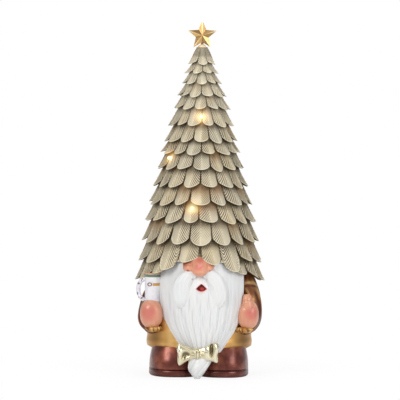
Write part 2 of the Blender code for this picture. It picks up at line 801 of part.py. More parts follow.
def make_tuft():
    """End of the beard under the bow, its tip on the floor."""
    y = TUFT_INSET - BEARD_FRONT
    rings = [
        oval(x, y + back, z, TUFT_HALF_WIDTH * a, TUFT_HALF_DEPTH * b, ROUND_POINTS)
        for z, x, a, b, back in TUFT_RINGS
    ]
    return loft("tuft", rings)


def make_bow():
    """Two folded loops and a knot; each loop is pinched at the knot and creased along its middle."""
    y = -(BOW_FRONT - BOW_HALF_DEPTH)
    loops = []
    for side in (-1, 1):
        rings = []
        for share, height, depth in BOW_LOOP_SECTIONS:
            angles = np.arange(ROUND_POINTS) * 2 * math.pi / ROUND_POINTS
            crease = 1 - 0.38 * np.abs(np.sin(angles)) ** 6 * min(1.0, 2 * share) * (share < 1)
            ring_x = np.full(ROUND_POINTS, BOW_X + side * BOW_HALF_WIDTH * share)
            ring_y = y - BOW_HALF_DEPTH * depth * np.sin(angles) * crease
            ring_z = BEARD_KNOT_Z + BOW_LOOP_HALF_HEIGHT * height * np.cos(angles)
            rings.append(np.column_stack([ring_x, ring_y, ring_z]))
        loops.append(loft("loop", rings))
    halves = (BOW_KNOT_RADIUS * 0.8, BOW_HALF_DEPTH * 1.1, BOW_KNOT_RADIUS * 1.3)
    knot = ellipsoid("knot", (BOW_X, y, BEARD_KNOT_Z), halves, 12, 5, BOW_KNOT_SQUARENESS)
    return boolean(knot, loops, "UNION")


# Hollow, and what is drilled into the casting


def hollow_low_z():
    """Height at which the hollow turns from the oval of the tunic to the cone of the hat."""
    return BRIM_Z + HOLLOW_SHOULDER


def hollow_radius(z):
    """Radius of the hollow in the hat, a wall's thickness inside the deepest leaf roots."""
    row = min(range(1, HAT_ROWS), key=lambda k: abs(row_z(k - 1) + LEAF_ROOT * row_pitch(k - 1) - z))
    root = overhang(row - 1) + leaf_slope(row) * LEAF_ROOT * row_pitch(row - 1)
    return hat_radius(z) - root - LEAF_RIDGE - CASTING_WALL


def hollow_top_z():
    """Height at which the hollow has narrowed to its smallest radius."""
    heights = np.linspace(BRIM_Z, TOP_ROW_Z, 200)
    wide_enough = [z for z in heights if hollow_radius(z) >= HOLLOW_TOP_RADIUS]
    return max(wide_enough)


def hollow_profile(z):
    """The hollow's radius, straight between the brim and its top."""
    low_z, high_z = hollow_low_z(), hollow_top_z()
    share = (z - low_z) / (high_z - low_z)
    return hollow_radius(low_z) * (1 - share) + HOLLOW_TOP_RADIUS * share


def make_hollow():
    inside_width = TUNIC_HALF_WIDTH - 3 * CASTING_WALL
    inside_depth = TUNIC_HALF_DEPTH - 3 * CASTING_WALL
    shoulder = hollow_profile(hollow_low_z())
    levels = [
        (HOLLOW_FLOOR_Z, inside_width * 0.80, inside_depth * 0.70),
        (HOLLOW_FLOOR_Z + 0.0150, inside_width, inside_depth),
        (BRIM_Z + 0.0080, inside_width, inside_depth + 0.0030),
        (hollow_low_z(), shoulder, shoulder),
        (hollow_top_z(), HOLLOW_TOP_RADIUS, HOLLOW_TOP_RADIUS),
    ]
    rings = [oval(0, 0, z, a, b, BODY_POINTS) for z, a, b in levels]
    return loft("hollow", rings)


def light_seat(index):
    """Angle, height and face radius of the casting where a light comes out."""
    row, drop = LIGHT_ROWS[index], LIGHT_DROPS[index]
    z = row_z(row) - drop
    face = hat_radius(row_z(row)) - overhang(row) + leaf_slope(row + 1) * drop
    return math.radians(LIGHT_ANGLES[index]), z, face


def flange_reach(z):
    """Distance from the axis at which a lamp's flange meets the sloping wall of the hollow."""
    flat = hollow_profile(z + LAMP_FLANGE_RADIUS) * math.cos(math.pi / BODY_POINTS)
    return math.sqrt(flat**2 - LAMP_FLANGE_RADIUS**2) - SEAT_GAP


def radial(thing, angle, z):
    """Turns a piece made along +Z to point outwards at an angle and a height."""
    turn = Matrix.Rotation(angle, 4, "Z") @ Matrix.Rotation(math.radians(90), 4, "X")
    thing.data.transform(Matrix.Translation((0, 0, z)) @ turn)
    return thing


# Battery box layout, worked out from the cells


def bay_length():
    return CELL_LENGTH + SPRING_LENGTH + 2 * CONTACT_THICKNESS + 5 * SEAT_GAP


def bay_width():
    return 4 * CELL_RADIUS + 3 * CELL_GAP


def box_length():
    return bay_length() + 2 * BOX_WALL + SCREW_BLOCK


def box_width():
    return bay_width() + SWITCH_BAY + 3 * BOX_WALL


def plate_top():
    return PLATE_Z + PLATE_THICKNESS


def cell_z():
    return PLATE_Z + DOOR_THICKNESS + CELL_GAP + CELL_RADIUS


def box_top():
    return cell_z() + CELL_RADIUS + CELL_GAP + BOX_WALL


def box_low():
    """The box's corner at -X, -Y."""
    return -box_length() / 2, BOOT_Y - box_width() / 2


def bay_low():
    return box_low()[0] + BOX_WALL, box_low()[1] + BOX_WALL


def bay_high():
    return bay_low()[0] + bay_length(), bay_low()[1] + bay_width()


def cell_y(index):
    return bay_low()[1] + CELL_GAP + CELL_RADIUS + index * (2 * CELL_RADIUS + CELL_GAP)


def switch_centre():
    return 0.0, bay_high()[1] + BOX_WALL + SWITCH_BAY / 2


def screw_place():
    return bay_high()[0] + BOX_WALL + SCREW_BLOCK / 2, (bay_low()[1] + bay_high()[1]) / 2


def door_end():
    return screw_place()[0] + SCREW_BLOCK / 2 - BOX_WALL


def make_casting(colour):
    """Everything that is cast and painted in one piece."""
    parts = [make_tunic()]
    for side in (-1, 1):
        parts += [make_boot(side), make_sleeve(side), make_cuff(side), make_fist(side)]
        parts += [make_moustache(side), make_cheek(side)]
    parts += [make_thumb(1), make_mug(), make_nose(), make_beard(), make_tuft(), make_bow()]
    casting = boolean(make_hat(), parts, "UNION")
    cutters = [make_mouth(), make_hollow()]
    x, y = box_low()
    gap = SEAT_GAP
    pocket = block(
        "pocket",
        (x - gap, y - gap, plate_top()),
        (-x + gap, y + box_width() + gap, HOLLOW_FLOOR_Z + 0.0030),
    )
    recess = block(
        "recess",
        (x - PLATE_MARGIN - gap, y - PLATE_MARGIN - gap, -0.0100),
        (-x + PLATE_MARGIN + gap, y + box_width() + PLATE_MARGIN + gap, plate_top() + gap),
        corner=PLATE_MARGIN,
    )
    seat = PEG_RADIUS + gap
    top = hat_tip_z()
    peg_hole = turned("peg_hole", [(seat, top - PEG_DEPTH - gap), (seat, top + 0.01)], SMALL_POINTS)
    cutters += [pocket, recess, peg_hole]
    for index in range(len(LIGHT_ROWS)):
        angle, z, face = light_seat(index)
        hole = LAMP_RADIUS + gap
        drill = turned("drill", [(hole, hollow_profile(z) - 0.004), (hole, face + 0.012)], 8)
        cutters.append(radial(drill, angle, z))
    boolean(casting, cutters, "DIFFERENCE")
    casting.name = casting.data.name = "figure_casting"
    casting.data.materials.clear()
    casting.data.materials.append(colour)
    return casting


def make_star(colour):
    """Five-pointed star, ridged on both faces, on a peg."""
    centre = hat_tip_z() + STAR_WAIST + STAR_CLEARANCE
    outline = []
    for index in range(10):
        reach = STAR_RADIUS if index % 2 == 0 else STAR_WAIST
        angle = math.radians(90 + 36 * index)
        outline.append((reach * math.cos(angle), centre + reach * math.sin(angle)))
    points = [(x, -STAR_RIM / 2, z) for x, z in outline] + [(x, STAR_RIM / 2, z) for x, z in outline]
    points += [(0, -STAR_DEPTH / 2, centre), (0, STAR_DEPTH / 2, centre)]
    faces = ring_faces(0, 10, 10)
    faces += [(i, (i + 1) % 10, 20) for i in range(10)]
    faces += [(10 + i, 10 + (i + 1) % 10, 21) for i in range(10)]
    star = make_object("star", points, faces)
    low = hat_tip_z() - PEG_DEPTH
    peg = turned("peg", [(PEG_RADIUS, low), (PEG_RADIUS, centre)], SMALL_POINTS)
    boolean(star, [peg], "UNION")
    star.name = star.data.name = "star_topper"
    star.data.materials.append(colour)
    return star


def make_lamp(index, colour):
    """Light-emitting diode in its sleeve: domed lens outside, flange inside the wall."""
    angle, z, face = light_seat(index)
    inner = flange_reach(z)
    tip = face + LAMP_REACH
    profile = [
        (LAMP_FLANGE_RADIUS, inner - LAMP_FLANGE),
        (LAMP_FLANGE_RADIUS, inner - 0.00002),
        (LAMP_RADIUS, inner),
        (LAMP_RADIUS, tip - LAMP_RADIUS),
        (LAMP_RADIUS * 0.72, tip - LAMP_RADIUS * 0.3),
        (LAMP_RADIUS * 0.25, tip),
    ]
    lamp = turned(f"led_lamp_{index + 1}", profile, 8, material=colour)
    return smooth(radial(lamp, angle, z))


def tube(name, points, radius, colour, sides_level=1):
    """Round wire as a curve with filled ends."""
    curve = bpy.data.curves.new(name, "CURVE")
    curve.dimensions = "3D"
    curve.bevel_depth = radius
    curve.bevel_resolution = sides_level
    curve.use_fill_caps = True
    spline = curve.splines.new("POLY")
    spline.points.add(len(points) - 1)
    for target, point in zip(spline.points, points):
        target.co = (*point, 1.0)
    curve.materials.append(colour)
    thing = bpy.data.objects.new(name, curve)
    bpy.context.scene.collection.objects.link(thing)
    return thing


def make_harness(colour):
    """Wire that climbs the hollow and passes just behind each light."""
    slant = hollow_profile(hollow_low_z()) - hollow_profile(hollow_low_z() + LAMP_FLANGE_RADIUS)
    inset = LAMP_FLANGE + slant + SEAT_GAP + WIRE_RADIUS
    stops = sorted((light_seat(i)[1], light_seat(i)[0] % (2 * math.pi)) for i in range(len(LIGHT_ROWS)))
    x, y = switch_centre()
    lift = plate_top() + SEAT_GAP + SWITCH_HEIGHT + SEAT_GAP + WIRE_RADIUS
    points = [
        Vector((x, y, lift)),
        Vector((x, y, box_top() + 0.004)),
        Vector((x, y + 0.003, BRIM_Z * 0.6)),
    ]
    previous = None
    for z, angle in stops:
        if previous:
            turn = (angle - previous[1] + math.pi) % (2 * math.pi) - math.pi
            steps = max(2, round(abs(turn) / math.radians(24)) + 1)
        else:
            previous = (hollow_low_z(), angle)
            turn, steps = 0.0, 2
        for step in range(1, steps + 1):
            share = step / steps
            height = previous[0] + (z - previous[0]) * share
            bearing = previous[1] + turn * share
            reach = flange_reach(height) - inset
            points.append(Vector((reach * math.sin(bearing), -reach * math.cos(bearing), height)))
        previous = (z, previous[1] + turn)
    return tube("led_harness", points, WIRE_RADIUS, colour)


# Battery box


def make_battery_box(colour):
    """Moulded box with its base plate, cell bay open below and switch bay open above."""
    x, y = box_low()
    shell = block("shell", (x, y, PLATE_Z + 0.0002), (-x, y + box_width(), box_top()))
    plate = block(
        "plate",
        (x - PLATE_MARGIN, y - PLATE_MARGIN, PLATE_Z),
        (-x + PLATE_MARGIN, y + box_width() + PLATE_MARGIN, plate_top()),
        corner=PLATE_MARGIN,
    )
    boolean(plate, [shell], "UNION")
    bay = block("bay", (*bay_low(), -0.01), (*bay_high(), box_top() - BOX_WALL))
    rebate = block(
        "rebate",
        (bay_low()[0] - DOOR_LAP - SEAT_GAP, bay_low()[1], -0.01),
        (door_end() + SEAT_GAP, bay_high()[1], PLATE_Z + DOOR_THICKNESS + SEAT_GAP),
    )
    sx, sy = switch_centre()
    high = box_top() + 0.01
    switch_bay = block(
        "switch_bay",
        (sx - SWITCH_LENGTH, bay_high()[1] + BOX_WALL, plate_top()),
        (sx + SWITCH_LENGTH, bay_high()[1] + BOX_WALL + SWITCH_BAY, high),
    )
    slot_half = (KNOB_LENGTH + SWITCH_TRAVEL) / 2 + SEAT_GAP
    slot = block(
        "slot",
        (sx - slot_half, sy - KNOB_WIDTH / 2 - SEAT_GAP, -0.01),
        (sx + slot_half, sy + KNOB_WIDTH / 2 + SEAT_GAP, plate_top() + 0.001),
    )
    bore = SCREW_RADIUS + SEAT_GAP
    profile = [(bore, -0.01), (bore, PLATE_Z + SCREW_LENGTH + SEAT_GAP)]
    pilot = turned("pilot", profile, SMALL_POINTS, screw_place())
    boolean(plate, [bay, rebate, switch_bay, slot, pilot], "DIFFERENCE")
    plate.name = plate.data.name = "battery_box"
    plate.data.materials.clear()
    plate.data.materials.append(colour)
    return plate


def make_door(colour):
    """Flat door in the base plate, lapped under the bay's end wall and screwed at the other end."""
    low = (bay_low()[0] - DOOR_LAP, bay_low()[1] + SEAT_GAP, PLATE_Z)
    high = (door_end(), bay_high()[1] - SEAT_GAP, PLATE_Z + DOOR_THICKNESS)
    door = block("battery_door", low, high, colour)
    hole = SCREW_RADIUS + SEAT_GAP
    drill = turned("drill", [(hole, -0.01), (hole, 0.01)], SMALL_POINTS, screw_place())
    return boolean(door, [drill], "DIFFERENCE")


def make_screw(colour):
    """Pan-head screw with a cross recess."""
    x, y = screw_place()
    head = PLATE_Z - SEAT_GAP
    profile = [
        (SCREW_HEAD_RADIUS * 0.7, head - SCREW_HEAD_HEIGHT),
        (SCREW_HEAD_RADIUS, head - SCREW_HEAD_HEIGHT * 0.5),
        (SCREW_HEAD_RADIUS, head),
        (SCREW_RADIUS, head + 0.00002),
        (SCREW_RADIUS, PLATE_Z + SCREW_LENGTH - 0.0008),
        (SCREW_RADIUS * 0.3, PLATE_Z + SCREW_LENGTH),
    ]
    screw = turned("door_screw", profile, SMALL_POINTS, (x, y), colour)
    arm, half = SCREW_HEAD_RADIUS * 0.5, SCREW_HEAD_RADIUS * 0.14
    low, high = head - SCREW_HEAD_HEIGHT - 0.001, head - SCREW_HEAD_HEIGHT * 0.45
    cross = block("cross", (x - arm, y - half, low), (x + arm, y + half, high))
    other = block("other", (x - half, y - arm, low), (x + half, y + arm, high))
    return boolean(screw, [cross, other], "DIFFERENCE")


def lay_along_x(thing, start, y, z, direction):
    """Turns a piece made along +Z to run along X from a start point."""
    turn = Matrix.Rotation(math.radians(90 * direction), 4, "Y")
    thing.data.transform(Matrix.Translation((start, y, z)) @ turn)
    return thing


def make_cell(index, colour):
    """Cylindrical cell; the two cells face opposite ways."""
    length = CELL_LENGTH - NUB_LENGTH
    profile = [
        (CELL_RADIUS * 0.93, 0.0),
        (CELL_RADIUS, CELL_RADIUS * 0.07),
        (CELL_RADIUS, length - CELL_RADIUS * 0.07),
        (CELL_RADIUS * 0.93, length),
        (NUB_RADIUS, length + 0.00002),
        (NUB_RADIUS, CELL_LENGTH),
    ]
    cell = turned(f"cell_{index + 1}", profile, ROUND_POINTS, material=colour)
    away = CONTACT_THICKNESS + 2 * SEAT_GAP
    if index == 0:
        lay_along_x(cell, bay_high()[0] - away - CELL_LENGTH, cell_y(index), cell_z(), 1)
    else:
        lay_along_x(cell, bay_low()[0] + away + CELL_LENGTH, cell_y(index), cell_z(), -1)
    return smooth(cell)


def make_spring(index, colour):
    """Conical contact spring at a cell's flat end."""
    points_a_turn = 9
    count = SPRING_TURNS * points_a_turn + 1
    direction = 1 if index == 0 else -1
    away = CONTACT_THICKNESS + 2 * SEAT_GAP + SPRING_WIRE
    start = bay_low()[0] + away if index == 0 else bay_high()[0] - away
    points = []
    for step in range(count):
        share = step / (count - 1)
        angle = 2 * math.pi * SPRING_TURNS * share
        radius = CELL_RADIUS * (0.55 - 0.20 * share)
        x = start + direction * share * (SPRING_LENGTH - 2 * SPRING_WIRE)
        points.append((x, cell_y(index) + radius * math.cos(angle), cell_z() + radius * math.sin(angle)))
    return tube(f"contact_spring_{index + 1}", points, SPRING_WIRE, colour)


def make_contacts(colour):
    """A plate for each cell at -X, and one bridge for both at +X."""
    half = CONTACT_SIZE / 2
    made = []
    for index in (0, 1):
        x = bay_low()[0] + SEAT_GAP
        low = (x, cell_y(index) - half, cell_z() - half)
        high = (x + CONTACT_THICKNESS, cell_y(index) + half, cell_z() + half)
        made.append(block(f"contact_plate_{index + 1}", low, high, colour))
    x = bay_high()[0] - SEAT_GAP
    low = (x - CONTACT_THICKNESS, cell_y(0) - half, cell_z() - half)
    high = (x, cell_y(1) + half, cell_z() + half)
    made.append(block("contact_bridge", low, high, colour))
    return made


def make_switch(metal, plastic):
    """Pressed housing over a sliding knob that reaches down through the base plate."""
    x, y = switch_centre()
    base = plate_top() + SEAT_GAP
    housing = block(
        "switch_housing",
        (x - SWITCH_LENGTH / 2, y - SWITCH_WIDTH / 2, base),
        (x + SWITCH_LENGTH / 2, y + SWITCH_WIDTH / 2, base + SWITCH_HEIGHT),
        metal,
    )
    run = (CARRIAGE_LENGTH + SWITCH_TRAVEL) / 2 + SEAT_GAP
    side = CARRIAGE_WIDTH / 2 + SEAT_GAP
    roof = base + 2 * SEAT_GAP + CARRIAGE_HEIGHT
    track = block("track", (x - run, y - side, 0.0), (x + run, y + side, roof))
    boolean(housing, [track], "DIFFERENCE")
    on = x + SWITCH_TRAVEL / 2
    carriage = block(
        "switch_slider",
        (on - CARRIAGE_LENGTH / 2, y - CARRIAGE_WIDTH / 2, base + SEAT_GAP * 0.5),
        (on + CARRIAGE_LENGTH / 2, y + CARRIAGE_WIDTH / 2, base + SEAT_GAP * 0.5 + CARRIAGE_HEIGHT),
        plastic,
    )
    knob = block(
        "knob",
        (on - KNOB_LENGTH / 2, y - KNOB_WIDTH / 2, PLATE_Z - KNOB_BELOW_PLATE),
        (on + KNOB_LENGTH / 2, y + KNOB_WIDTH / 2, base + SEAT_GAP),
    )
    boolean(carriage, [knob], "UNION")
    middle = Vector((on, y, base))
    carriage.data.transform(Matrix.Translation(-middle))
    carriage.location = middle
    return housing, carriage


def centre_figure():
    """Moves all pieces so that the middle of the whole figure is over the origin."""
    bpy.context.view_layer.update()
    corners = []
    for thing in bpy.data.objects:
        corners += [thing.matrix_world @ Vector(corner) for corner in thing.bound_box]
    lows = [min(corner[axis] for corner in corners) for axis in (0, 1)]
    highs = [max(corner[axis] for corner in corners) for axis in (0, 1)]
    offset = Vector((-(lows[0] + highs[0]) / 2, -(lows[1] + highs[1]) / 2, 0.0))
    for thing in bpy.data.objects:
        thing.location += offset


def main():
    clear_scene()
    resin = paint("painted_resin", (0.60, 0.53, 0.40), 0.45, 0.2)
    gold = paint("star_gold", (0.83, 0.62, 0.30), 0.25, 0.9)
    glow = paint("warm_lens", (1.0, 0.85, 0.55), 0.2)
    copper = paint("wire_copper", (0.72, 0.42, 0.25), 0.35, 0.9)
    black = paint("black_plastic", (0.03, 0.03, 0.035), 0.5)
    steel = paint("plated_steel", (0.70, 0.70, 0.70), 0.25, 1.0)
    label = paint("cell_jacket", (0.20, 0.22, 0.26), 0.4)
    make_casting(resin)
    make_star(gold)
    for index in range(len(LIGHT_ROWS)):
        make_lamp(index, glow)
    make_harness(copper)
    make_battery_box(black)
    make_door(black)
    make_screw(steel)
    for index in (0, 1):
        make_cell(index, label)
        make_spring(index, steel)
    make_contacts(steel)
    make_switch(steel, black)
    centre_figure()


main()
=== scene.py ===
"""Christmas gnome figure: fine shapes and painted finishes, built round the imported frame."""

import logging
import math
from dataclasses import dataclass
from enum import Enum

import bpy
import numpy as np
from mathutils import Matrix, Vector


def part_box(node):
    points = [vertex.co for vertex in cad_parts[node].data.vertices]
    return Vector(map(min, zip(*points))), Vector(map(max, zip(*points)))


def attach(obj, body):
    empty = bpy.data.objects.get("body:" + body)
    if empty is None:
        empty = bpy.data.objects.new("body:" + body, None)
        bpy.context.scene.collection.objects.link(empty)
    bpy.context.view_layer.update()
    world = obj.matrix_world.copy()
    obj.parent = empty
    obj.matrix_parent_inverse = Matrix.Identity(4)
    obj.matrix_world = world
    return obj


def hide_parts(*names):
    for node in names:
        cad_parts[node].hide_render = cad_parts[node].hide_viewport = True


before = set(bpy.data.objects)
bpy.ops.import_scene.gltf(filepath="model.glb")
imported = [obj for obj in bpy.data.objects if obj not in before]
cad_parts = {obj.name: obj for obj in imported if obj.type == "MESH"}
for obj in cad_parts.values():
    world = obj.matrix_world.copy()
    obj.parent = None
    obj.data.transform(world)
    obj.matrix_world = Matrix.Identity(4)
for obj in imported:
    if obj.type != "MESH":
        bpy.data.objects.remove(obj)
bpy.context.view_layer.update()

LOG = logging.getLogger("gnome")
MM = 0.001
FIGURE = "figure"
CASTING = "figure_casting"
LAMPS = tuple(f"led_lamp_{number}" for number in range(1, 8))
AXIS_Y = (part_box("star_topper")[0].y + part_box("star_topper")[1].y) / 2
AXIS_MM = AXIS_Y / MM
# Share of a lamp's reach at which its lens ends
LENS_SHARE = 0.72
# Width of a five-pointed star over its radius
STAR_SPAN = 2 * math.sin(math.radians(72))
SEED = 7

Colour = tuple[float, float, float]
Lengths = tuple[float, float, float]


def paint(red: int, green: int, blue: int) -> Colour:
    """Turn an 8-bit screen colour into the linear colour that shaders take.

    Args:
        red: Red, 0 to 255.
        green: Green, 0 to 255.
        blue: Blue, 0 to 255.

    Returns:
        The linear red, green and blue.
    """

    def linear(level: int) -> float:
        """Linear value of one 8-bit channel."""
        share = level / 255
        return share / 12.92 if share <= 0.04045 else ((share + 0.055) / 1.055) ** 2.4

    return linear(red), linear(green), linear(blue)


def smoothstep(low: float, high: float, value: np.ndarray) -> np.ndarray:
    """Rise smoothly from 0 at low to 1 at high, as 3t^2 - 2t^3.

    Args:
        low: Where the rise starts.
        high: Where it ends.
        value: The values to map.

    Returns:
        An array of shares from 0 to 1.
    """
    share = np.clip((value - low) / (high - low), 0.0, 1.0)
    return share * share * (3 - 2 * share)


def bump(centre: float, spread: float, value: np.ndarray) -> np.ndarray:
    """Bell curve exp(-((value - centre) / spread)^2)."""
    return np.exp(-(((value - centre) / spread) ** 2))


def curve(stops: tuple[float, ...], heights: tuple[float, ...], at: np.ndarray) -> np.ndarray:
    """Smooth curve through points: cubic pieces whose slopes are the mean of their neighbours'.

    Args:
        stops: Rising positions of the points.
        heights: Value at each point.
        at: Positions to read.

    Returns:
        The curve's value at each position.
    """
    x, y = np.array(stops, float), np.array(heights, float)
    slope = np.gradient(y, x)
    at = np.clip(at, x[0], x[-1])
    left = np.clip(np.searchsorted(x, at, side="right") - 1, 0, len(x) - 2)
    width = x[left + 1] - x[left]
    t = (at - x[left]) / width
    return (
        y[left] * (2 * t**3 - 3 * t**2 + 1)
        + slope[left] * width * (t**3 - 2 * t**2 + t)
        + y[left + 1] * (3 * t**2 - 2 * t**3)
        + slope[left + 1] * width * (t**3 - t**2)
    )


def turn_angles(count: int) -> np.ndarray:
    """Even directions round a full turn, in radians, from 0."""
    return np.arange(count) * 2 * math.pi / count


def about_axis(radius: np.ndarray, angle: np.ndarray, height: np.ndarray) -> np.ndarray:
    """Points in metres at a radius, direction and height about the figure's axis; direction 0 faces -Y."""
    return np.stack([radius * np.sin(angle), AXIS_MM - radius * np.cos(angle), height], axis=-1) * MM


def painted_shade_marks(shade: np.ndarray, grid: np.ndarray) -> np.ndarray:
    """Marks for a grid whose third value is painted shade, from 0 on a ridge or a lit part to 1 in a dip or a
    shaded part.

    Args:
        shade: The shade at each point, cut off at 0 and 1.
        grid: The points that get the marks.

    Returns:
        Three values for each point.
    """
    marks = np.zeros(grid.shape)
    marks[..., 2] = np.clip(shade, 0, 1)
    return marks


class Ends(Enum):
    """How the first and last ring of a surface are closed."""

    CAPPED = "a fan to the ring's middle"
    JOINED = "last ring joined to the first"


@dataclass(frozen=True)
class Surface:
    """A closed surface: rings of points, each ring a loop, in rows along the shape.

    The point in row i and column j is grid[i, j]; columns always wrap round.
    """

    name: str
    grid: np.ndarray
    ends: Ends = Ends.CAPPED
    marks: np.ndarray | None = None
    tones: np.ndarray | None = None
    crease: float = 50.0

    def quads(self) -> np.ndarray:
        """Corner numbers of the quads between neighbouring rings.

        Returns:
            Four point numbers for each quad.
        """
        rows, columns = self.grid.shape[:2]
        spans = rows if self.ends is Ends.JOINED else rows - 1
        row = np.arange(spans)[:, None]
        column = np.arange(columns)[None, :]
        below, beside = (row + 1) % rows, (column + 1) % columns
        corners = (
            row * columns + column,
            row * columns + beside,
            below * columns + beside,
            below * columns + column,
        )
        return np.stack(np.broadcast_arrays(*corners), axis=-1).reshape(-1, 4)

    def caps(self) -> tuple[np.ndarray, np.ndarray]:
        """Middle points and triangles that close the first and last ring.

        Returns:
            The extra points and the triangles' corner numbers.
        """
        rows, columns = self.grid.shape[:2]
        if self.ends is Ends.JOINED:
            return np.zeros((0, 3)), np.zeros((0, 3), int)
        middles = np.stack([self.grid[0].mean(axis=0), self.grid[-1].mean(axis=0)])
        here = np.arange(columns)
        beside = (here + 1) % columns
        first = np.stack([beside, here, np.full(columns, rows * columns)], axis=1)
        start = (rows - 1) * columns
        last = np.stack([start + here, start + beside, np.full(columns, rows * columns + 1)], axis=1)
        return middles, np.concatenate([first, last])

    def build(self) -> bpy.types.Object:
        """Write the mesh, turned so that its signed volume is positive and its faces point out.

        Returns:
            The new object, linked to the scene.
        """
        middles, triangles = self.caps()
        points = np.concatenate([self.grid.reshape(-1, 3), middles])
        quads = self.quads()
        faces = np.concatenate([quads[:, [0, 1, 2]], quads[:, [0, 2, 3]], triangles])
        if np.linalg.det(points[faces]).sum() < 0:
            quads, triangles = quads[:, ::-1], triangles[:, ::-1]
        mesh = bpy.data.meshes.new(self.name)
        mesh.vertices.add(len(points))
        mesh.vertices.foreach_set("co", points.ravel())
        corners = np.concatenate([quads.ravel(), triangles.ravel()])
        sizes = np.concatenate([np.full(len(quads), 4), np.full(len(triangles), 3)])
        mesh.loops.add(len(corners))
        mesh.loops.foreach_set("vertex_index", corners)
        mesh.polygons.add(len(sizes))
        mesh.polygons.foreach_set("loop_start", np.cumsum(sizes) - sizes)
        mesh.polygons.foreach_set("use_smooth", np.ones(len(sizes), bool))
        mesh.update(calc_edges=True)
        mesh.validate()
        mesh.set_sharp_from_angle(angle=math.radians(self.crease))
        for name, given in (("marks", self.marks), ("tones", self.tones)):
            if given is not None:
                values = np.zeros((len(points), 3))
                values[: given.shape[0] * given.shape[1]] = given.reshape(-1, 3)
                layer = mesh.attributes.new(name, "FLOAT_VECTOR", "POINT")
                layer.data.foreach_set("vector", values.ravel())
        piece = bpy.data.objects.new(self.name, mesh)
        bpy.context.scene.collection.objects.link(piece)
        return piece


def join(name: str, pieces: list[bpy.types.Object]) -> bpy.types.Object:
    """Put several pieces that share a finish into one object.

    Args:
        name: Name of the object that is left.
        pieces: The pieces, of which the first takes in the others.

    Returns:
        The joined object.
    """
    with bpy.context.temp_override(active_object=pieces[0], selected_editable_objects=pieces):
        bpy.ops.object.join()
    pieces[0].name = pieces[0].data.name = name
    return pieces[0]


def tube_frame(path: np.ndarray) -> tuple[np.ndarray, np.ndarray]:
    """Directions across a path: sideways in the XZ plane, and forwards.

    Args:
        path: Points along the middle line, one row each.

    Returns:
        The side direction and the front direction at each point.
    """
    along = np.gradient(path, axis=0)
    along /= np.linalg.norm(along, axis=1, keepdims=True)
    side = np.cross(np.array([0.0, -1.0, 0.0]), along)
    side /= np.linalg.norm(side, axis=1, keepdims=True)
    return side, np.cross(along, side)


def limb(
    stops: list[Lengths],
    widths: tuple[float, ...],
    depths: tuple[float, ...],
    rows: int,
    columns: int,
) -> tuple[np.ndarray, np.ndarray, np.ndarray, np.ndarray]:
    """Sweep an ellipse along a smooth path.

    Args:
        stops: Points of the middle line.
        widths: Half width at each stop.
        depths: Half depth at each stop.
        rows: Rings along the path.
        columns: Points round a ring.

    Returns:
        The grid of points, the outward direction at each, the share of the path
        of each row, and the angle of each column, where 0 is the side.
    """
    keys = tuple(np.linspace(0, 1, len(stops)))
    share = np.linspace(0, 1, rows)
    path = np.stack([curve(keys, tuple(p[axis] for p in stops), share) for axis in range(3)], axis=1)
    side, front = tube_frame(path)
    angle = turn_angles(columns)
    wide = curve(keys, widths, share)[:, None, None]
    deep = curve(keys, depths, share)[:, None, None]
    across = side[:, None, :] * np.cos(angle)[None, :, None]
    forward = front[:, None, :] * np.sin(angle)[None, :, None]
    outward = across * deep + forward * wide
    outward /= np.linalg.norm(outward, axis=2, keepdims=True)
    return path[:, None, :] + across * wide + forward * deep, outward, share, angle


def blob(
    centre: Lengths,
    halves: Lengths,
    rows: int,
    columns: int,
    power: float = 2.0,
) -> tuple[np.ndarray, np.ndarray, np.ndarray]:
    """Superellipsoid by latitude and longitude: cos^(2/power) and sin^(2/power) of each.

    Args:
        centre: Middle of the blob.
        halves: Half sizes along X, Y and Z.
        rows: Rings from the bottom to the top.
        columns: Points round a ring.
        power: 2 for an ellipsoid, more for a squarer shape.

    Returns:
        The grid of points, the latitudes and the longitudes; longitude 0 faces -Y.
    """
    latitude = np.radians(np.linspace(-88, 88, rows))[:, None]
    longitude = turn_angles(columns)[None, :]

    def wave(value: np.ndarray) -> np.ndarray:
        """Power of a sine or cosine that keeps its sign."""
        return np.sign(value) * np.abs(value) ** (2 / power)

    ring = wave(np.cos(latitude))
    x = centre[0] + halves[0] * ring * wave(np.sin(longitude))
    y = centre[1] - halves[1] * ring * wave(np.cos(longitude))
    z = centre[2] + halves[2] * wave(np.sin(latitude)) + 0 * longitude
    return np.stack([x, y, z], axis=-1), latitude, longitude


# Shader maths


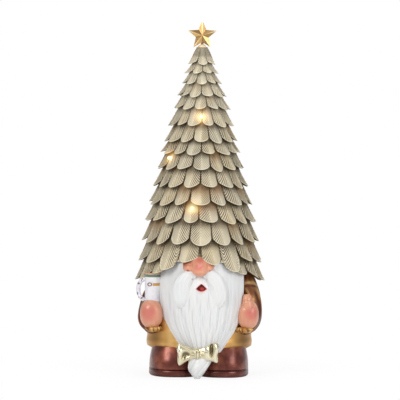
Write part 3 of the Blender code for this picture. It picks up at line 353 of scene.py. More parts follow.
class Wire:
    """A shader socket, or a plain number, that takes part in sums."""

    def __init__(self, tree: bpy.types.NodeTree, value: object) -> None:
        """Hold a socket or a number of a tree."""
        self.tree, self.value = tree, value

    def node(self, kind: str, settings: dict[str, object], *inputs: object) -> bpy.types.Node:
        """Add a node, set its settings first and then its sockets.

        Args:
            kind: The node's type.
            settings: Attributes to set before the sockets.
            inputs: Values, wires or (socket name, value) pairs, in socket order.

        Returns:
            The node.
        """
        made = self.tree.nodes.new(kind)
        for name, setting in settings.items():
            setattr(made, name, setting)
        for index, given in enumerate(inputs):
            key, given = given if isinstance(given, tuple) and isinstance(given[0], str) else (index, given)
            if given is None:
                continue
            given = given.value if isinstance(given, Wire) else given
            if isinstance(given, bpy.types.NodeSocket):
                self.tree.links.new(given, made.inputs[key])
            else:
                made.inputs[key].default_value = given
        return made

    def math(self, operation: str, *inputs: object) -> "Wire":
        """One Math node, as a wire."""
        return Wire(self.tree, self.node("ShaderNodeMath", {"operation": operation}, *inputs).outputs[0])

    def __add__(self, other: object) -> "Wire":
        """Sum."""
        return self.math("ADD", self, other)

    __radd__ = __add__

    def __sub__(self, other: object) -> "Wire":
        """Difference."""
        return self.math("SUBTRACT", self, other)

    def __rsub__(self, other: object) -> "Wire":
        """Difference from a number."""
        return self.math("SUBTRACT", other, self)

    def __mul__(self, other: object) -> "Wire":
        """Product."""
        return self.math("MULTIPLY", self, other)

    __rmul__ = __mul__

    def __pow__(self, other: object) -> "Wire":
        """Power."""
        return self.math("POWER", self, other)

    def sine(self) -> "Wire":
        """Sine of an angle in radians."""
        return self.math("SINE", self)

    def cosine(self) -> "Wire":
        """Cosine of an angle in radians."""
        return self.math("COSINE", self)

    def root(self) -> "Wire":
        """Square root."""
        return self.math("SQRT", self)

    def fraction(self) -> "Wire":
        """What is left after the whole number."""
        return self.math("FRACT", self)

    def turn_from(self, other: object) -> "Wire":
        """Angle whose tangent is this over the other."""
        return self.math("ARCTAN2", self, other)

    def size(self) -> "Wire":
        """Absolute value."""
        return self.math("ABSOLUTE", self)

    def exp(self) -> "Wire":
        """e to this power."""
        return self.math("EXPONENT", self)

    def larger(self, other: object) -> "Wire":
        """The larger of the two."""
        return self.math("MAXIMUM", self, other)

    def smaller(self, other: object) -> "Wire":
        """The smaller of the two."""
        return self.math("MINIMUM", self, other)

    def ramp(self, low: float, high: float) -> "Wire":
        """Share from 0 at low to 1 at high, smoothed.

        Args:
            low: Value at which the share is 0.
            high: Value at which it is 1, which may be the smaller of the two.

        Returns:
            The share.
        """
        settings = {"interpolation_type": "SMOOTHSTEP"}
        if low > high:
            return 1 - self.ramp(high, low)
        made = self.node("ShaderNodeMapRange", settings, self, low, high, 0.0, 1.0)
        return Wire(self.tree, made.outputs[0])


class Recipe:
    """A material under construction, with its Principled shader."""

    def __init__(self, name: str, roughness: float, metallic: float = 0.0) -> None:
        """Start a material from its constant values.

        Args:
            name: Name of the material.
            roughness: Roughness where nothing else feeds it.
            metallic: Metallic share, the same all over.
        """
        self.material = bpy.data.materials.new(name)
        self.material.use_nodes = True
        self.tree = self.material.node_tree
        self.shader = self.tree.nodes["Principled BSDF"]
        self.shader.inputs["Roughness"].default_value = roughness
        self.shader.inputs["Metallic"].default_value = metallic
        self.hub = Wire(self.tree, 0.0)
        self.place = self.out("ShaderNodeTexCoord", {}, "Object")

    def out(self, kind: str, settings: dict[str, object], output: str | int, *inputs: object) -> Wire:
        """One output of a new node."""
        return Wire(self.tree, self.hub.node(kind, settings, *inputs).outputs[output])

    def axes(self) -> tuple[Wire, Wire, Wire]:
        """Object coordinates in millimetres."""
        split = self.hub.node("ShaderNodeSeparateXYZ", {}, self.place)
        return tuple(Wire(self.tree, output) * 1000.0 for output in split.outputs)

    def marks(self, name: str = "marks") -> tuple[Wire, Wire, Wire]:
        """Read one of the piece's own attributes.

        Args:
            name: Name of the attribute.

        Returns:
            Its three values.
        """
        read = self.hub.node("ShaderNodeAttribute", {"attribute_name": name})
        split = self.hub.node("ShaderNodeSeparateXYZ", {}, Wire(self.tree, read.outputs["Vector"]))
        return tuple(Wire(self.tree, output) for output in split.outputs)

    def noise(self, size: float, detail: float = 2.0, stretch: Lengths = (1.0, 1.0, 1.0)) -> Wire:
        """Noise on Object coordinates, from 0 to 1.

        Args:
            size: Width of a feature in millimetres.
            detail: Layers of finer noise.
            stretch: Share of the scale along each axis, where less makes features longer.

        Returns:
            The noise.
        """
        scale = tuple(1000.0 / size * share for share in stretch)
        place = self.out("ShaderNodeMapping", {}, 0, ("Vector", self.place), ("Scale", scale))
        return self.out("ShaderNodeTexNoise", {}, 0, ("Vector", place), ("Scale", 1.0), ("Detail", detail))

    def colour(self, value: Colour) -> Wire:
        """A constant colour that enters a mix."""
        return Wire(self.tree, (*value, 1.0))

    def mix(self, share: object, first: Wire, second: Wire) -> Wire:
        """Blend two colours.

        Args:
            share: Share of the second colour.
            first: The first colour.
            second: The second colour.

        Returns:
            The blended colour.
        """
        settings = {"data_type": "RGBA", "clamp_factor": True}
        made = self.hub.node("ShaderNodeMix", settings, share)
        for socket, wire in ((made.inputs[6], first), (made.inputs[7], second)):
            if isinstance(wire.value, bpy.types.NodeSocket):
                self.tree.links.new(wire.value, socket)
            else:
                socket.default_value = wire.value
        return Wire(self.tree, made.outputs[2])

    def over(self, base: Wire, tone: Colour, share: object) -> Wire:
        """Lay a constant colour over another one by a share."""
        return self.mix(share, base, self.colour(tone))

    def feed(self, socket: str, wire: Wire) -> None:
        """Link a wire to a socket of the shader, or set a constant.

        Args:
            socket: Name of the socket.
            wire: What feeds it.
        """
        if isinstance(wire.value, bpy.types.NodeSocket):
            self.tree.links.new(wire.value, self.shader.inputs[socket])
        else:
            self.shader.inputs[socket].default_value = wire.value

    def emboss(self, height: Wire, depth: float) -> None:
        """Bump from a height of 0 to 1, depth millimetres deep."""
        sockets = [("Strength", 1.0), ("Distance", depth * MM), ("Height", height)]
        self.feed("Normal", self.out("ShaderNodeBump", {}, 0, *sockets))

    def varnish(self, weight: float, roughness: float) -> None:
        """Clear coat, the same all over."""
        self.shader.inputs["Coat Weight"].default_value = weight
        self.shader.inputs["Coat Roughness"].default_value = roughness


def lamp_tips() -> list[Lengths]:
    """Find the outer end of each lamp, from the reach of its box along the line from the figure's axis.

    Returns:
        One point in millimetres for each lamp.
    """
    tips = []
    for name in LAMPS:
        low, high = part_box(name)
        centre = (low + high) / 2
        away = Vector((centre.x, centre.y - AXIS_Y, 0.0)).normalized()
        reach = abs(away.x) * (high.x - low.x) / 2 + abs(away.y) * (high.y - low.y) / 2
        tip = centre + away * (reach * LENS_SHARE)
        tips.append((tip.x * 1000, tip.y * 1000, tip.z * 1000))
    return tips


@dataclass(frozen=True)
class LeafGlitter:
    """Champagne paint on the leaves, with painted shade in the veins, painted highlights on the ribs and
    rims, a brown wash with painted shade at the roots and in the gaps, and the lamps' glow painted on as
    light given off by the leaves.
    """

    vein_slope: float
    grey: Colour = paint(186, 176, 153)
    straw: Colour = paint(194, 177, 141)
    # rim: painted highlight on the ribs, the edges, the outer halves, the upper rows and the glitter
    rim: Colour = paint(238, 229, 203)
    # vein: painted shade in the vein grooves
    vein: Colour = paint(94, 74, 42)
    # brown paint with painted shade at the roots, in the gaps and on the inner halves
    wash_and_shade: Colour = paint(80, 62, 34)
    rust: Colour = paint(150, 108, 58)
    glow_edge: Colour = paint(252, 178, 84)
    glow_core: Colour = paint(255, 236, 160)
    glow_reach: float = 7.2
    glow_strength: float = 0.72

    def material(self) -> bpy.types.Material:
        """Build the finish.

        Marks hold the distance from the ridge and the length from the tip, both counted in
        veins, and the height above the edge in millimetres. Tones hold the share across the
        leaf, below 0 on its outer half, a chance value of each leaf and the share of the
        visible height. The veins are a sine of the length plus the distance, sloped, with painted
        shade in their grooves and painted highlight on their ribs. The half towards the middle of
        the front or back has the clearer veins and more painted shade; the outer half has a painted
        highlight near the tip.

        Returns:
            The material.
        """
        recipe = Recipe("leaf_glitter", 0.42, 0.2)
        distance, length, rise = recipe.marks()
        across, chance, height = recipe.marks("tones")
        edge, inner = across.size(), across.ramp(-0.12, 0.16)
        wobble = recipe.noise(8.0, 1.0)
        wave = ((length + distance * self.vein_slope + wobble * 0.6) * (2 * math.pi)).sine()
        cover = recipe.noise(9.0, 2.0).ramp(0.36, 0.58)
        lined = (height.ramp(-0.1, 0.6) * 0.7 + edge.ramp(0.10, 0.6) * 0.5).smaller(1.0)
        # painted shade: the veins are stronger on the half towards the middle of the front or back
        lined = lined * (inner * 0.55 + 0.45) * (0.3 + cover * 0.7)
        base = recipe.over(recipe.colour(self.grey), self.straw, chance)
        # painted highlight on the outer half of each leaf, strongest near the tip
        base = recipe.over(base, self.rim, (1 - inner) * height.ramp(0.9, 0.2) * 0.38)
        # painted shade on the inner half, towards its side
        base = recipe.over(base, self.wash_and_shade, inner * edge.ramp(0.0, 0.5) * 0.22)
        # painted shade in the vein grooves, then painted highlight on the vein ribs
        base = recipe.over(base, self.vein, wave.ramp(0.35, -0.5) * lined * 0.72)
        base = recipe.over(base, self.rim, wave.ramp(0.0, 0.8) * lined * 0.75)
        # painted highlight along the lower edge and along the midrib
        pale = (rise.ramp(1.4, 0.5) * 0.55).larger(edge.ramp(0.09, 0.02) * cover * 0.35)
        base = recipe.over(base, self.rim, pale)
        # brown wash with painted shade under the row above, on the leaves' backs and in the gaps between
        # leaves
        gap = edge.ramp(0.88, 0.99) * height.ramp(0.1, 0.45)
        base = recipe.over(base, self.wash_and_shade, height.ramp(0.60, 1.10).larger(gap) * 0.88)
        worn_and_shaded = (chance * 7.31).fraction().ramp(0.78, 0.92) * height.ramp(0.25, 0.85)
        base = recipe.over(base, self.rust, worn_and_shaded * 0.45)
        _, _, z = recipe.axes()
        # painted light: the upper rows are paler
        base = recipe.over(base, self.rim, z.ramp(250.0, 340.0) * 0.30)
        # pale glitter specks, painted as glints
        dots = recipe.noise(0.9, 1.0)
        base = recipe.over(base, self.rim, dots.ramp(0.66, 0.74) * 0.4)
        recipe.feed("Base Color", base)
        recipe.feed("Roughness", 0.34 + dots * 0.24)
        recipe.emboss(wave * lined * 0.5 + dots * 0.2, 0.5)
        recipe.feed("Emission Color", self.glow_light(recipe))
        recipe.shader.inputs["Emission Strength"].default_value = self.glow_strength
        return recipe.material

    def glow_light(self, recipe: Recipe) -> Wire:
        """Warm light that falls off round each lamp as e^-(gap / reach)^2, orange at its edge.

        Args:
            recipe: The material under construction.

        Returns:
            The emitted colour.
        """
        total = recipe.hub
        for tip in lamp_tips():
            place = tuple(value * MM for value in tip)
            gap = recipe.out("ShaderNodeVectorMath", {"operation": "DISTANCE"}, "Value", recipe.place, place)
            total = total + ((gap * (1000 / self.glow_reach)) ** 2.0 * -1.0).exp()
        tone = recipe.over(recipe.colour(self.glow_edge), self.glow_core, total.ramp(0.2, 0.75))
        return recipe.mix(total.smaller(1.0), recipe.colour((0.0, 0.0, 0.0)), tone)


@dataclass(frozen=True)
class HatShadow:
    """Dark wash on the cone behind the leaves."""

    tone: Colour = paint(72, 54, 30)
    dust: Colour = paint(120, 96, 60)

    def material(self) -> bpy.types.Material:
        """Build the finish.

        Returns:
            The material.
        """
        recipe = Recipe("hat_shadow", 0.7)
        spots = recipe.noise(5.0)
        recipe.feed("Base Color", recipe.over(recipe.colour(self.tone), self.dust, spots))
        return recipe.material


@dataclass(frozen=True)
class Skin:
    """Satin skin paint with rosy patches, each given as a centre and a radius in millimetres."""

    name: str
    base: Colour = paint(232, 164, 132)
    blush: Colour = paint(226, 116, 102)
    light: Colour = paint(244, 184, 148)
    dimple: Colour = paint(140, 52, 34)
    # crease: colour of painted shade in creases and under things
    crease: Colour = paint(166, 88, 60)
    patches: tuple[tuple[float, float, float, float], ...] = ()
    dots: tuple[tuple[float, float, float, float], ...] = ()

    def material(self) -> bpy.types.Material:
        """Build the finish.

        Returns:
            The material.
        """
        recipe = Recipe(self.name, 0.32)
        tone = recipe.noise(9.0, 3.0)
        base = recipe.over(recipe.colour(self.base), self.light, tone.ramp(0.35, 0.75) * 0.6)
        for x, y, z, radius in self.patches:
            near = self.near(recipe, (x, y, z), radius)
            base = recipe.over(base, self.blush, near * 0.85)
        for x, y, z, radius in self.dots:
            near = self.near(recipe, (x, y, z), radius)
            base = recipe.over(base, self.dimple, near)
        # painted shade from the marks: in creases, finger grooves, under the fists and under the hat's leaves
        _, _, groove = recipe.marks()
        base = recipe.over(base, self.crease, groove.ramp(0.10, 1.0) * 0.75)
        recipe.feed("Base Color", base)
        recipe.feed("Roughness", 0.26 + tone * 0.16)
        recipe.varnish(0.35, 0.18)
        return recipe.material

    def near(self, recipe: Recipe, place: Lengths, radius: float) -> Wire:
        """Share from 0 at a radius to 1 near a point.

        Args:
            recipe: The material under construction.
            place: The point in millimetres.
            radius: Radius in millimetres.

        Returns:
            The share.
        """
        spot = tuple(value * MM for value in place)
        gap = recipe.out("ShaderNodeVectorMath", {"operation": "DISTANCE"}, "Value", recipe.place, spot)
        return (gap * 1000.0).ramp(radius, radius * 0.25)


@dataclass(frozen=True)
class Mouth:
    """Open mouth in millimetres: a triangle with its point up, whose lower side curves up at its ends.

    The distance aside is the root of (x - centre)^2 + rounding, the lower side lies at
    low + sag aside^2, and the two slants run from the point to half_width aside at low.
    """

    centre: float = 2.0
    low: float = 98.4
    high: float = 106.9
    half_width: float = 8.6
    sag: float = 0.075
    rounding: float = 0.8

    def rise(self) -> float:
        """Height of the triangle."""
        return self.high - self.low

    def slant(self) -> float:
        """Length of one slanted side."""
        return math.hypot(self.rise(), self.half_width)


@dataclass(frozen=True)
class Hair:
    """White beard paint, with grey painted shade in the grooves; a mouth may be painted on it."""

    name: str
    top: Colour = paint(221, 221, 220)
    groove: Colour = paint(180, 182, 188)
    haze: Colour = paint(212, 215, 222)
    lip_edge: Colour = paint(244, 214, 210)
    lip: Colour = paint(222, 134, 128)
    throat: Colour = paint(112, 18, 20)
    tongue: Colour = paint(196, 62, 58)
    # depth: strength of the grey painted shade in the grooves
    depth: float = 0.5
    mouth: Mouth | None = None

    def material(self) -> bpy.types.Material:
        """Build the finish. The third mark is the depth of the groove at each point, which sets the painted
        shade.

        Returns:
            The material.
        """
        recipe = Recipe(self.name, 0.42)
        _, _, groove = recipe.marks()
        cloud = recipe.noise(14.0, 2.0, (1.0, 1.0, 0.4))
        # grey painted shade in the grooves between strands
        base = recipe.over(recipe.colour(self.top), self.groove, groove.ramp(0.5, 1.0) * self.depth)
        base = recipe.over(base, self.haze, cloud.ramp(0.45, 0.75) * 0.25)
        if self.mouth:
            base = self.painted_mouth(recipe, base, self.mouth)
        recipe.feed("Base Color", base)
        recipe.feed("Roughness", 0.36 + cloud * 0.15)
        recipe.varnish(0.15, 0.25)
        return recipe.material

    def painted_mouth(self, recipe: Recipe, base: Wire, mouth: Mouth) -> Wire:
        """Paint lips, the dark opening and the tongue, as bands of the distance from the mouth's edge.

        Args:
            recipe: The material under construction.
            base: Colour under the paint.
            mouth: Shape of the mouth.

        Returns:
            The colour with the mouth on it.
        """
        x, _, z = recipe.axes()
        aside = ((x - mouth.centre) ** 2.0 + mouth.rounding).root()
        slope = aside * (mouth.rise() / mouth.slant()) + (z - mouth.high) * (mouth.half_width / mouth.slant())
        under = aside**2.0 * mouth.sag + mouth.low - z
        edge = slope.math("SMOOTH_MAX", slope, under, 2.0)
        base = recipe.over(base, self.lip_edge, edge.ramp(2.2, 0.8) * 0.6)
        lower = edge.ramp(1.8, 0.5) * (under - slope).ramp(-0.8, 0.4)
        base = recipe.over(base, self.lip, lower * 0.8)
        base = recipe.over(base, self.throat, edge.ramp(0.6, -0.3))
        tongue = ((x - mouth.centre - 0.8) * 0.85) ** 2.0 + (z - mouth.low - 2.2) ** 2.0
        return recipe.over(base, self.tongue, tongue.ramp(6.0, 1.5) * 0.8)


@dataclass(frozen=True)
class GoldPaint:
    """Gold paint with a brown wash and painted shade in the dips and shaded parts, and painted highlights on
    the ridges.
    """

    name: str
    base: Colour = paint(206, 160, 92)
    # bright: random paler clouds, and painted highlight on the ridges
    bright: Colour = paint(248, 226, 166)
    wash_and_shade: Colour = paint(122, 74, 30)
    metallic: float = 0.55
    roughness: float = 0.34
    grain: float = 3.0
    relief: float = 0.12
    cloud: float = 0.5

    def material(self) -> bpy.types.Material:
        """Build the finish. The third mark is painted shade, 0 on a ridge and 1 in a dip or a shaded part.

        Returns:
            The material.
        """
        recipe = Recipe(self.name, self.roughness, self.metallic)
        _, _, painted_shade = recipe.marks()
        fine = recipe.noise(self.grain, 3.0)
        broad = recipe.noise(18.0, 2.0)
        base = recipe.over(recipe.colour(self.base), self.bright, broad.ramp(0.4, 0.7) * self.cloud)
        # brown wash with painted shade where the mark is high
        base = recipe.over(base, self.wash_and_shade, painted_shade.ramp(0.35, 1.0) * 0.85)
        # painted highlight where the mark is low
        base = recipe.over(base, self.bright, painted_shade.ramp(0.25, 0.0) * 0.4)
        recipe.feed("Base Color", base)
        recipe.feed("Roughness", self.roughness - 0.06 + fine * 0.16)
        recipe.emboss(fine, self.relief)
        return recipe.material


@dataclass(frozen=True)
class BootPaint:
    """Dark enamel clouded with copper, darker on the soles, with painted shade in the seam between the boots,
    the sole groove and the battery recess.
    """

    dark: Colour = paint(100, 44, 32)
    copper: Colour = paint(186, 108, 82)
    sole: Colour = paint(84, 38, 30)
    # seam: colour of the painted shade in the seam, the sole groove and the recess
    seam: Colour = paint(40, 18, 14)
    sole_top: float = 7.2

    def material(self) -> bpy.types.Material:
        """Build the finish.

        Returns:
            The material.
        """
        recipe = Recipe("boot_copper", 0.28, 0.65)
        _, _, painted_shade = recipe.marks()
        _, _, z = recipe.axes()
        cloud = recipe.noise(13.0, 2.0)
        base = recipe.over(recipe.colour(self.dark), self.copper, cloud.ramp(0.38, 0.78) * 0.55)
        base = recipe.over(base, self.sole, z.ramp(self.sole_top + 0.4, self.sole_top - 0.4) * 0.6)
        # painted shade in the seam, the sole groove and the recess
        base = recipe.over(base, self.seam, painted_shade.ramp(0.4, 1.0) * 0.9)
        recipe.feed("Base Color", base)
        recipe.feed("Roughness", 0.30 + cloud * 0.12)
        recipe.varnish(0.4, 0.2)
        return recipe.material


@dataclass(frozen=True)
class MugGlaze:
    """White mug: clay-brown lip, green band, a gold line with a ring at its end, and a specked handle."""

    centre_x: float
    radius: float
    top: float
    white: Colour = paint(226, 224, 226)
    lilac: Colour = paint(206, 199, 220)
    gold: Colour = paint(188, 142, 66)
    brown: Colour = paint(122, 84, 34)
    speck: Colour = paint(92, 74, 62)
    green: Colour = paint(86, 112, 84)
    clay: Colour = paint(200, 150, 124)
    edge: float = 0.3

    def material(self) -> bpy.types.Material:
        """Build the finish.

        Returns:
            The material.
        """
        recipe = Recipe("mug_glaze", 0.22)
        x, _, z = recipe.axes()
        cloud = recipe.noise(6.0)
        base = recipe.over(recipe.colour(self.white), self.lilac, cloud.ramp(0.4, 0.7) * 0.6)
        across = x - self.centre_x
        line = self.band(z, 14.6, 11.4)
        bar = across.ramp(-1.0, 0.0) * line
        ring = (((across + 3.8) * 0.8) ** 2.0 + (z - self.top + 13.0) ** 2.0).root()
        hoop = (ring - 1.7).size().ramp(0.8, 0.3)
        base = recipe.over(base, self.gold, bar)
        base = recipe.over(base, self.brown, hoop * across.ramp(-9.0, -7.5))
        handle = across.ramp(-self.radius + 1.0, -self.radius - 0.5)
        specks = recipe.noise(2.6, 0.0).ramp(0.63, 0.68) * handle
        base = recipe.over(base, self.speck, specks * 0.9)
        cup = across.ramp(-self.radius - 0.9, -self.radius - 0.3)
        base = recipe.over(base, self.green, self.band(z, 4.9, 1.8) * cup)
        lip = z.ramp(self.top - 1.9, self.top - 1.5)
        base = recipe.over(base, self.clay, lip)
        recipe.feed("Base Color", base)
        recipe.feed("Roughness", 0.18 + cloud * 0.1)
        recipe.varnish(0.6, 0.08)
        return recipe.material

    def step(self, z: Wire, depth: float) -> Wire:
        """Share from 0 under a depth below the top to 1 over it."""
        return z.ramp(self.top - depth - self.edge, self.top - depth + self.edge)

    def band(self, z: Wire, low: float, high: float) -> Wire:
        """Share of a band between two depths below the top."""
        return self.step(z, low) * (1 - self.step(z, high))


@dataclass(frozen=True)
class Plain:
    """A moulded, plated or printed finish: one tone with a fine grain."""

    name: str
    tone: Colour
    roughness: float
    metallic: float = 0.0
    grain: float = 0.8
    relief: float = 0.03

    def material(self) -> bpy.types.Material:
        """Build the finish.

        Returns:
            The material.
        """
        recipe = Recipe(self.name, self.roughness, self.metallic)
        fine = recipe.noise(self.grain, 2.0)
        darker = tuple(value * 0.82 for value in self.tone)
        recipe.feed("Base Color", recipe.mix(fine, recipe.colour(darker), recipe.colour(self.tone)))
        recipe.feed("Roughness", self.roughness - 0.05 + fine * 0.1)
        recipe.emboss(fine, self.relief)
        return recipe.material


@dataclass(frozen=True)
class StarGold:
    """Gold paint on the star, with painted highlight on its ridges, and painted shade on one face of each
    point and in its waists.
    """

    base: Colour = paint(202, 164, 104)
    # pale: painted highlight
    pale: Colour = paint(250, 224, 172)
    # dark: painted shade, also used for random darker clouds
    dark: Colour = paint(112, 78, 40)

    def material(self) -> bpy.types.Material:
        """Build the finish from the angle round the star's middle, five times over.

        Returns:
            The material.
        """
        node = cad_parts["star_topper"]
        low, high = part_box("star_topper")
        middle = Vector(((low.x + high.x) / 2, (low.y + high.y) / 2, high.z - (high.x - low.x) / STAR_SPAN))
        middle = node.matrix_world.inverted() @ middle
        recipe = Recipe("star_gold", 0.3, 0.6)
        x, _, z = recipe.axes()
        turn = (x - middle.x / MM).turn_from(z - middle.z / MM) * 5.0
        ridge = turn.cosine()
        cloud = recipe.noise(4.0, 3.0)
        # painted shade on one face of each point
        base = recipe.over(recipe.colour(self.base), self.dark, turn.sine().ramp(-0.1, 0.25) * 0.55)
        # painted shade in the waists between the points
        base = recipe.over(base, self.dark, ridge.ramp(-0.80, -0.98) * 0.8)
        # painted highlight along the ridges
        base = recipe.over(base, self.pale, ridge.ramp(0.93, 0.995) * 0.7)
        base = recipe.over(base, self.dark, cloud.ramp(0.5, 0.75) * 0.3)
        recipe.feed("Base Color", base)
        recipe.feed("Roughness", 0.24 + cloud * 0.15)
        recipe.emboss(cloud, 0.15)
        return recipe.material


@dataclass(frozen=True)
class LampLens:
    """Lit warm-white lens, evenly bright."""

    clear: Colour = paint(255, 236, 200)
    glow: Colour = paint(255, 214, 140)
    strength: float = 3.6

    def material(self) -> bpy.types.Material:
        """Build the finish.

        Returns:
            The material.
        """
        recipe = Recipe("lamp_lens", 0.15)
        recipe.feed("Base Color", recipe.colour(self.clear))
        recipe.feed("Emission Color", recipe.colour(self.glow))
        recipe.shader.inputs["Emission Strength"].default_value = self.strength
        return recipe.material


def finish_casting(piece: bpy.types.Object, material: bpy.types.Material) -> bpy.types.Object:
    """Dress a piece of the casting and tie it to the figure's body.

    Args:
        piece: The piece.
        material: Its finish.

    Returns:
        The same piece.
    """
    piece.data.materials.clear()
    piece.data.materials.append(material)
    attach(piece, FIGURE)
    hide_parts(CASTING)
    LOG.info("%s: %d faces", piece.name, len(piece.data.polygons))
    return piece


@dataclass
class LeafHat:
    """Hat of overlapping leaf rows on a cone, as the frame's casting has it."""

    shares: tuple[float, ...] = (
        0.0, 0.040, 0.090, 0.147, 0.205, 0.282, 0.353, 0.407, 0.480, 0.560, 0.639, 0.718, 0.813, 0.899, 1.0,
    )
    top_z: float = 350.5
    brim_z: float = 104.2
    top_radius: float = 15.8
    brim_radius: float = 73.3
    bulge: float = 6.0
    tip_height: float = 19.0
    tip_radius: float = 6.2
    leaf_widths: tuple[float, float] = (14.0, 27.0)
    overhangs: tuple[float, float] = (4.5, 6.5)
    notch: float = 0.76
    width_jitter: float = 0.11
    root: float = 0.85
    ridge: float = 3.0
    vein_height: float = 0.18
    rib_height: float = 0.2
    rim_height: float = 0.35
    thickness: float = 1.8
    lift_angles: tuple[float, ...] = (0.0, 24.0, 33.0, 50.0, 80.0, 180.0)
    lift_heights: tuple[float, ...] = (27.0, 26.0, 16.0, 11.5, 1.5, 0.0)
    long_leaf: tuple[float, float] = (31.8, 8.5)
    tuck: float = 4.5
    vein_pitches: tuple[float, float] = (2.5, 3.1)
    vein_slope: float = 1.18
    spacings: tuple[float, float] = (0.78, 0.66)

    def row_z(self, row: int) -> float:
        """Height of a row's leaf tips."""
        return self.top_z - (self.top_z - self.brim_z) * self.shares[row]

    def pitch(self, row: int) -> float:
        """Height of a row that shows; the top row counts like the next."""
        row = max(row, 1)
        return self.row_z(row - 1) - self.row_z(row)

    def radius(self, z: np.ndarray | float) -> np.ndarray | float:
        """Cone with a bulge of 4 bulge share (1 - share), where share runs from the top row to the brim.

        Args:
            z: Height.

        Returns:
            Radius at that height.
        """
        share = (self.top_z - z) / (self.top_z - self.brim_z)
        straight = self.top_radius + (self.brim_radius - self.top_radius) * share
        return straight + 4 * self.bulge * share * (1 - share)

    def between(self, ends: tuple[float, float], row: int) -> float:
        """Value of a row between those of the top and the brim."""
        return ends[0] + (ends[1] - ends[0]) * self.shares[row]

    def slope(self, row: int) -> float:
        """Run of a leaf's face for each millimetre of drop.

        Args:
            row: Number of the row, 0 at the top.

        Returns:
            What the cone gains over the row plus the overhang of the row above, over the pitch,
            or the slope of the hat's tip for the top row.
        """
        if row == 0:
            return (self.top_radius - self.tip_radius) / self.tip_height
        gained = self.radius(self.row_z(row)) - self.radius(self.row_z(row - 1))
        return (gained + self.between(self.overhangs, row - 1)) / self.pitch(row)

    def leaf_count(self, row: int) -> int:
        """Leaves that fit round a row."""
        return round(2 * math.pi * self.radius(self.row_z(row)) / self.between(self.leaf_widths, row))

    def lift(self, row: int, angle: np.ndarray) -> np.ndarray:
        """Rise of the brim row towards the face; one long leaf a side hangs from the row above.

        Args:
            row: Number of the row.
            angle: Directions round the hat, 0 at the front.

        Returns:
            Rise of the leaf tips in millimetres, read off the lift curve or below 0 at the long leaf.
        """
        turn = np.degrees(np.abs((angle + math.pi) % (2 * math.pi) - math.pi))
        if row == len(self.shares) - 1:
            return np.interp(turn, self.lift_angles, self.lift_heights)
        place, drop = self.long_leaf
        hangs = row == len(self.shares) - 2
        return -drop * hangs * smoothstep(10.5, 6.0, np.abs(turn - place))

    def root_ring(self, row: int) -> tuple[float, float]:
        """Find where a row comes out from behind the one above.

        Args:
            row: Number of the row.

        Returns:
            Height and radius of the ring of leaf roots.
        """
        if row == 0:
            return self.top_z + self.tip_height, self.tip_radius
        above = self.root * self.pitch(row - 1)
        steepness = min(self.slope(row - 1), self.slope(row))
        reach = self.radius(self.row_z(row - 1)) - self.between(self.overhangs, row - 1) - steepness * above
        return self.row_z(row - 1) + above, reach

    def row_surface(self, row: int, chance: np.random.Generator) -> Surface:
        """One row of leaves as a scalloped skirt, closed round its edge and up its back.

        Across a leaf the coordinate runs from -1 to 1, closer spaced near the notches. The
        edge is a rounded tongue: it rises as 1 - (1 - across^2)^0.58 and then steeply to the
        notch. The face is a straight line from the root to the edge, folded like a roof along
        its ridge as |across|^1.1, with a gap at the notch, a raised rim, a thin midrib, a
        tip that flares out and veins as a sine of the length plus the distance from the ridge.
        The ridge starts in the leaf's middle and slants down to a tip that lies away from the
        middle of the front and back, furthest in the two leaves that part above the nose.

        Args:
            row: Number of the row, 0 at the top.
            chance: Source of the small differences between leaves.

        Returns:
            The closed surface, with marks and tones for the leaf's paint.
        """
        count = self.leaf_count(row)
        half = math.pi * self.radius(self.row_z(row)) / count
        columns = 2 * round(half / self.spacings[0])
        place = np.arange(columns) * 2 / columns - 1
        across = np.tile(0.6 * place + 0.4 * np.sin(place * math.pi / 2), count)
        shift = chance.uniform(-self.width_jitter, self.width_jitter, count) * (row < len(self.shares) - 2)
        steps = np.arange(count + 1) + 0.5 * (row % 2) - 0.5 + np.append(shift, shift[0])
        gaps = steps * 2 * math.pi / count
        middle = (gaps[:-1] + gaps[1:]) / 2
        angle = np.repeat(middle, columns) + across * np.repeat(np.diff(gaps) / 2, columns)
        inner = 1 - across**2

        def scatter(spread: float) -> np.ndarray:
            """One chance value for each leaf, repeated over its columns."""
            return np.repeat(chance.uniform(-spread, spread, count), columns)

        outer = np.repeat(np.clip(2.0 * np.sin(middle) + chance.uniform(-0.3, 0.3, count), -1, 1), columns)
        beside = (row == len(self.shares) - 2) * bump(0.0, 0.25, np.sin(middle)) * (np.cos(middle) > 0)
        outer = outer + np.repeat(1.2 * beside * np.sign(np.sin(middle)), columns)
        bias = np.clip(0.36 * outer + scatter(0.14), -0.5, 0.5) * inner
        tip = np.abs(np.clip(across - bias, -1, 1))
        tongue = 1 - (1 - np.clip(tip / 0.965, 0, 1) ** 2.0) ** 0.58
        scallop = 0.48 * tongue + 0.52 * smoothstep(0.95, 1.0, tip)
        lift = self.lift(row, angle)
        pitch = self.pitch(row)
        shown = np.maximum(pitch - lift, 0.12 * pitch)
        tip_z = self.row_z(row) + lift
        edge_z = tip_z + scatter(0.08) * pitch * inner + scallop * self.notch * shown
        tip_radius = self.radius(tip_z) - self.tuck * lift / max(self.lift_heights)
        root_z, root_radius = self.root_ring(row)

